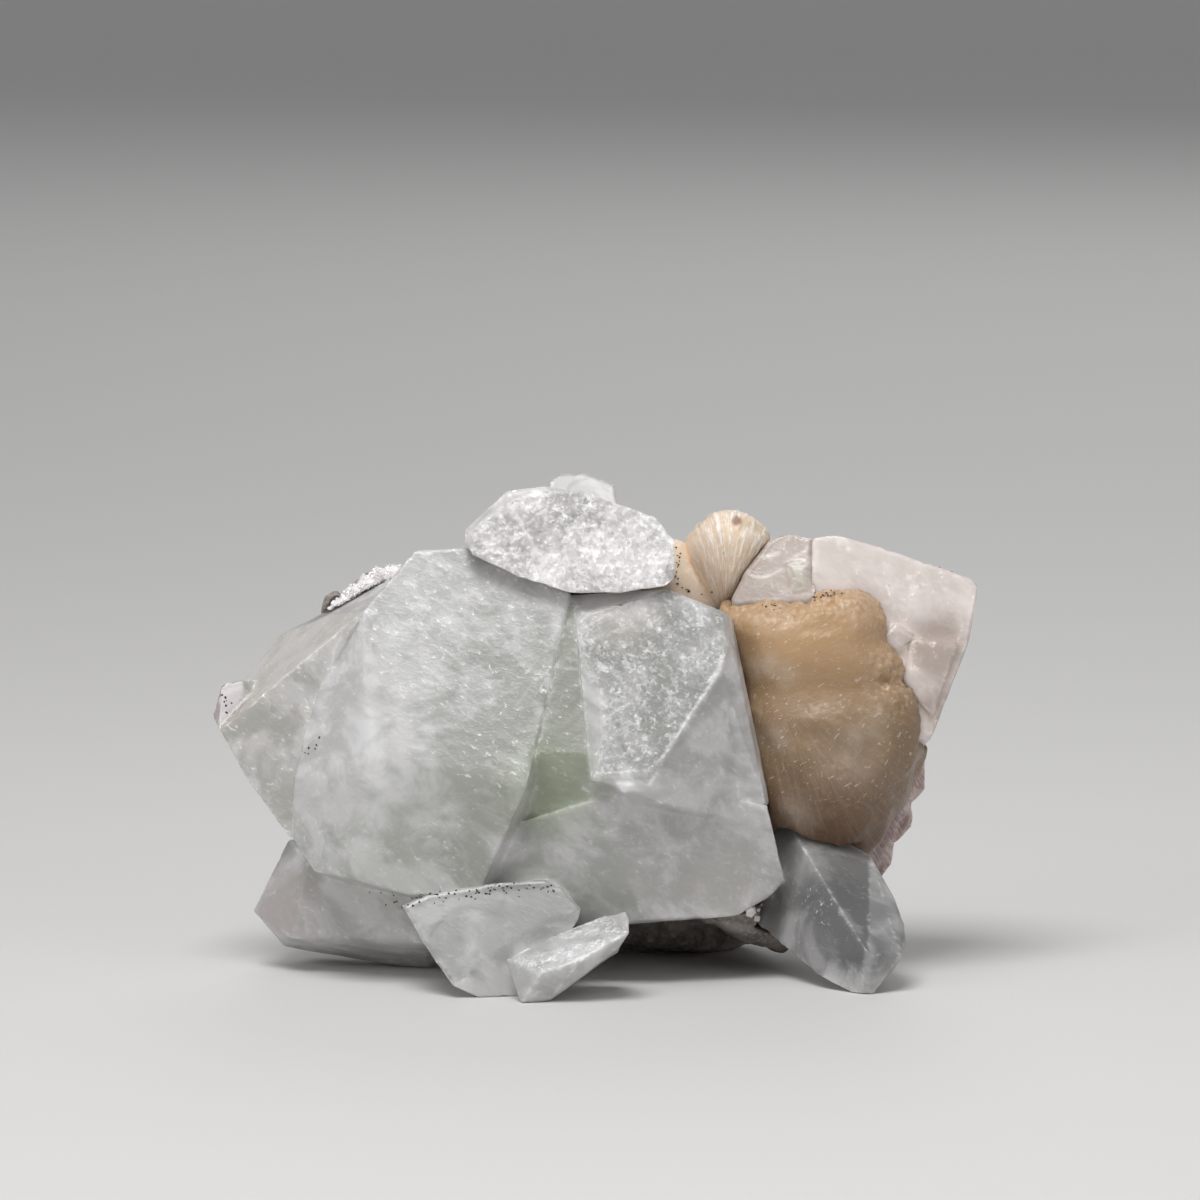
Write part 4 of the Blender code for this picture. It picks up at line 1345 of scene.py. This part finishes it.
def make_sugar(name, colour, seed):
    """White to rosy tiny crystals."""
    made, tree, shader = new_material(name)
    grains = use(tree, GLITTER, Size=0.5, Seed=seed)
    tint = blend_colours(tree, times(tree, grains["Mask"], 0.6), colour, SUGAR_WHITE)
    fill(tree, shader, Base_Color=tint, Roughness=0.28, IOR=1.5)
    scattering(tree, shader, 0.9, SUGAR_RADIUS)
    raise_surface(tree, shader, times(tree, grains["Height"], 0.5))
    return made


sugar = make_sugar("sugary_druse", (0.90, 0.86, 0.85), 51.0)
bm = solid_copy("white_druse")
cut_finely(bm, 0.5, 0.8)
melt(bm, bm.verts, 2)
druse = new_piece("druse_lumps", bm, "white_druse", sugar)
crust(
    "druse_crystals", druse, "white_druse", sugar, 300, (0.25, 0.6),
    lambda place, normal: normal[1] < 0.4, 5,
)


def on_rock_back(place, normal):
    """Patches on the back of the rock where small crystals grew."""
    patch = noise.noise(Vector(place) / 9 + Vector((3.0, 0, 0)))
    return normal[1] > 0.35 and patch > 0.12 and place[2] > 3


crust("rock_crystals", rock, "basalt_matrix", sugar, 700, (0.5, 1.3), on_rock_back, 6)

# %% [markdown]
# ## Pink blades
#
# Beside the foot of the sheaf stand a few dull pink blades, scored along their length, with bright
# broken ends.

# %% Pink blades
SCORE_TURN = (0, math.radians(-60), 0)
ROSY_DARK = (0.36, 0.26, 0.25)
ROSY_LIGHT = (0.62, 0.52, 0.50)
ROSY_CLOUD = (0.75, 0.66, 0.63)
ROSY_RADIUS = (1.2, 0.9, 0.85)
SCORE_RISE = 0.25
BLADE_SWELL = 0.1


def make_rosy():
    """Dull pink crystal with score lines and pale clouds."""
    made, tree, shader = new_material("rosy_blade")
    lines = use(tree, STREAKS, Size=0.35, Stretch=7.0, Turn=SCORE_TURN, From=0.42, To=0.62, Seed=61.0)
    cloud = use(tree, STREAKS, Size=2.0, Stretch=1.5, From=0.4, To=0.65, Seed=63.0)
    colour = blend_colours(tree, lines["Mask"], ROSY_DARK, ROSY_LIGHT)
    colour = blend_colours(tree, times(tree, cloud["Mask"], 0.5), colour, ROSY_CLOUD)
    fill(tree, shader, Base_Color=colour, Roughness=0.35)
    scattering(tree, shader, 1.2, ROSY_RADIUS)
    raise_surface(tree, shader, times(tree, lines["Height"], 0.15))
    return made


def blade_relief(bm):
    """Scores the blades along their length."""
    bm.normal_update()
    moved = []
    for vert in bm.verts:
        place = vert.co / MM
        along = Vector((place.x * SIN_30 + place.z * COS_30, place.y, -place.x * COS_30 + place.z * SIN_30))
        score = noise.noise(Vector((along.x / 6, along.y / 1.5, along.z / 0.8)))
        moved.append(vert.co + vert.normal * (SCORE_RISE * score + BLADE_SWELL) * MM)
    move_all(bm, moved)


rosy = make_rosy()
bm = solid_copy("pink_crystals")
cut_finely(bm, 0.4, 1.0)
blade_relief(bm)
keep_inside(bm, *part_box("pink_crystals"))
new_piece("pink_blades", bm, "pink_crystals", rosy, sharp=CRYSTAL_CREASE)

# %% [markdown]
# ## Dark grains
#
# A row of tiny black mineral grains lies along the upper edge of the front crystal, and a few more
# sit at the roots of the stilbite. Each is a small rough ball half sunk in the face below it.

# %% Grains
GRAIN_SIZES = (0.07, 0.19)
GRAIN_BLACK = (0.02, 0.016, 0.014)
GRAIN_BROWN = (0.09, 0.045, 0.028)
GRAIN_ROWS = [
    # (piece, the row's corners across and up in millimetres, how many, how far they stray)
    (mass, [(-23.5, 12.1), (-21, 12.8), (-12, 13.9), (-6, 14.2), (-4.2, 13.2)], 60, 0.9),
    (mass, [(-28, 13), (-24, 12.5)], 8, 0.8),
    (mass, [(-47.1, 38.6), (-46.6, 35.8)], 9, 0.6),
    (mass, [(-36.6, 31.0), (-34.3, 33.0)], 7, 0.4),
    (bow_tie, [(26.5, 50.5), (31.5, 51.5)], 22, 0.5),
    (bow_tie, [(20, 49.3), (24, 49.5)], 8, 0.5),
    (fan, [(10.8, 57), (10.5, 52)], 14, 0.4),
    (fan, [(11, 51.8), (15, 51)], 7, 0.5),
]


def seen_on(piece, across, up):
    """The place and the way out on a piece where the camera sees it."""
    hit, place, normal, _ = piece.ray_cast(sight_start(across, up), view_way)
    return (place, normal) if hit else None


def point_along(corners, share):
    """The point at a share of the way along a row of corners."""
    lengths = [math.dist(a, b) for a, b in zip(corners, corners[1:])]
    left = share * sum(lengths)
    for start, end, length in zip(corners, corners[1:], lengths):
        if left <= length:
            return [a + (b - a) * left / length for a, b in zip(start, end)]
        left -= length
    return list(corners[-1])


def scatter_grains():
    """Rough little balls along the rows, straying a little from them."""
    picker = random.Random(9)
    bm = bmesh.new()
    for piece, corners, count, stray in GRAIN_ROWS:
        for _ in range(count):
            across, up = point_along(corners, picker.random())
            across += picker.gauss(0, stray * 0.5)
            up += picker.gauss(0, stray * 0.5)
            found = seen_on(piece, across, up)
            if found is None:
                continue
            size = Vector([picker.uniform(*GRAIN_SIZES) * MM for _ in range(3)])
            matrix = Matrix.LocRotScale(found[0], None, size)
            bmesh.ops.create_icosphere(bm, subdivisions=1, radius=1, matrix=matrix)
    return bm


def make_dark_grain():
    """Nearly black, with a brown side here and there."""
    made, tree, shader = new_material("dark_grain")
    brown = use(tree, STREAKS, Size=0.6, Stretch=1.0, From=0.5, To=0.6, Seed=71.0)
    colour = blend_colours(tree, brown["Mask"], GRAIN_BLACK, GRAIN_BROWN)
    fill(tree, shader, Base_Color=colour, Roughness=scaled(tree, brown["Height"], 0.4, 0.3))
    return made


new_piece("dark_grains", scatter_grains(), "basalt_matrix", make_dark_grain())

# %% The size of the frame
print("cad box in mm", [round(v / MM, 2) for v in cad_high - cad_low])
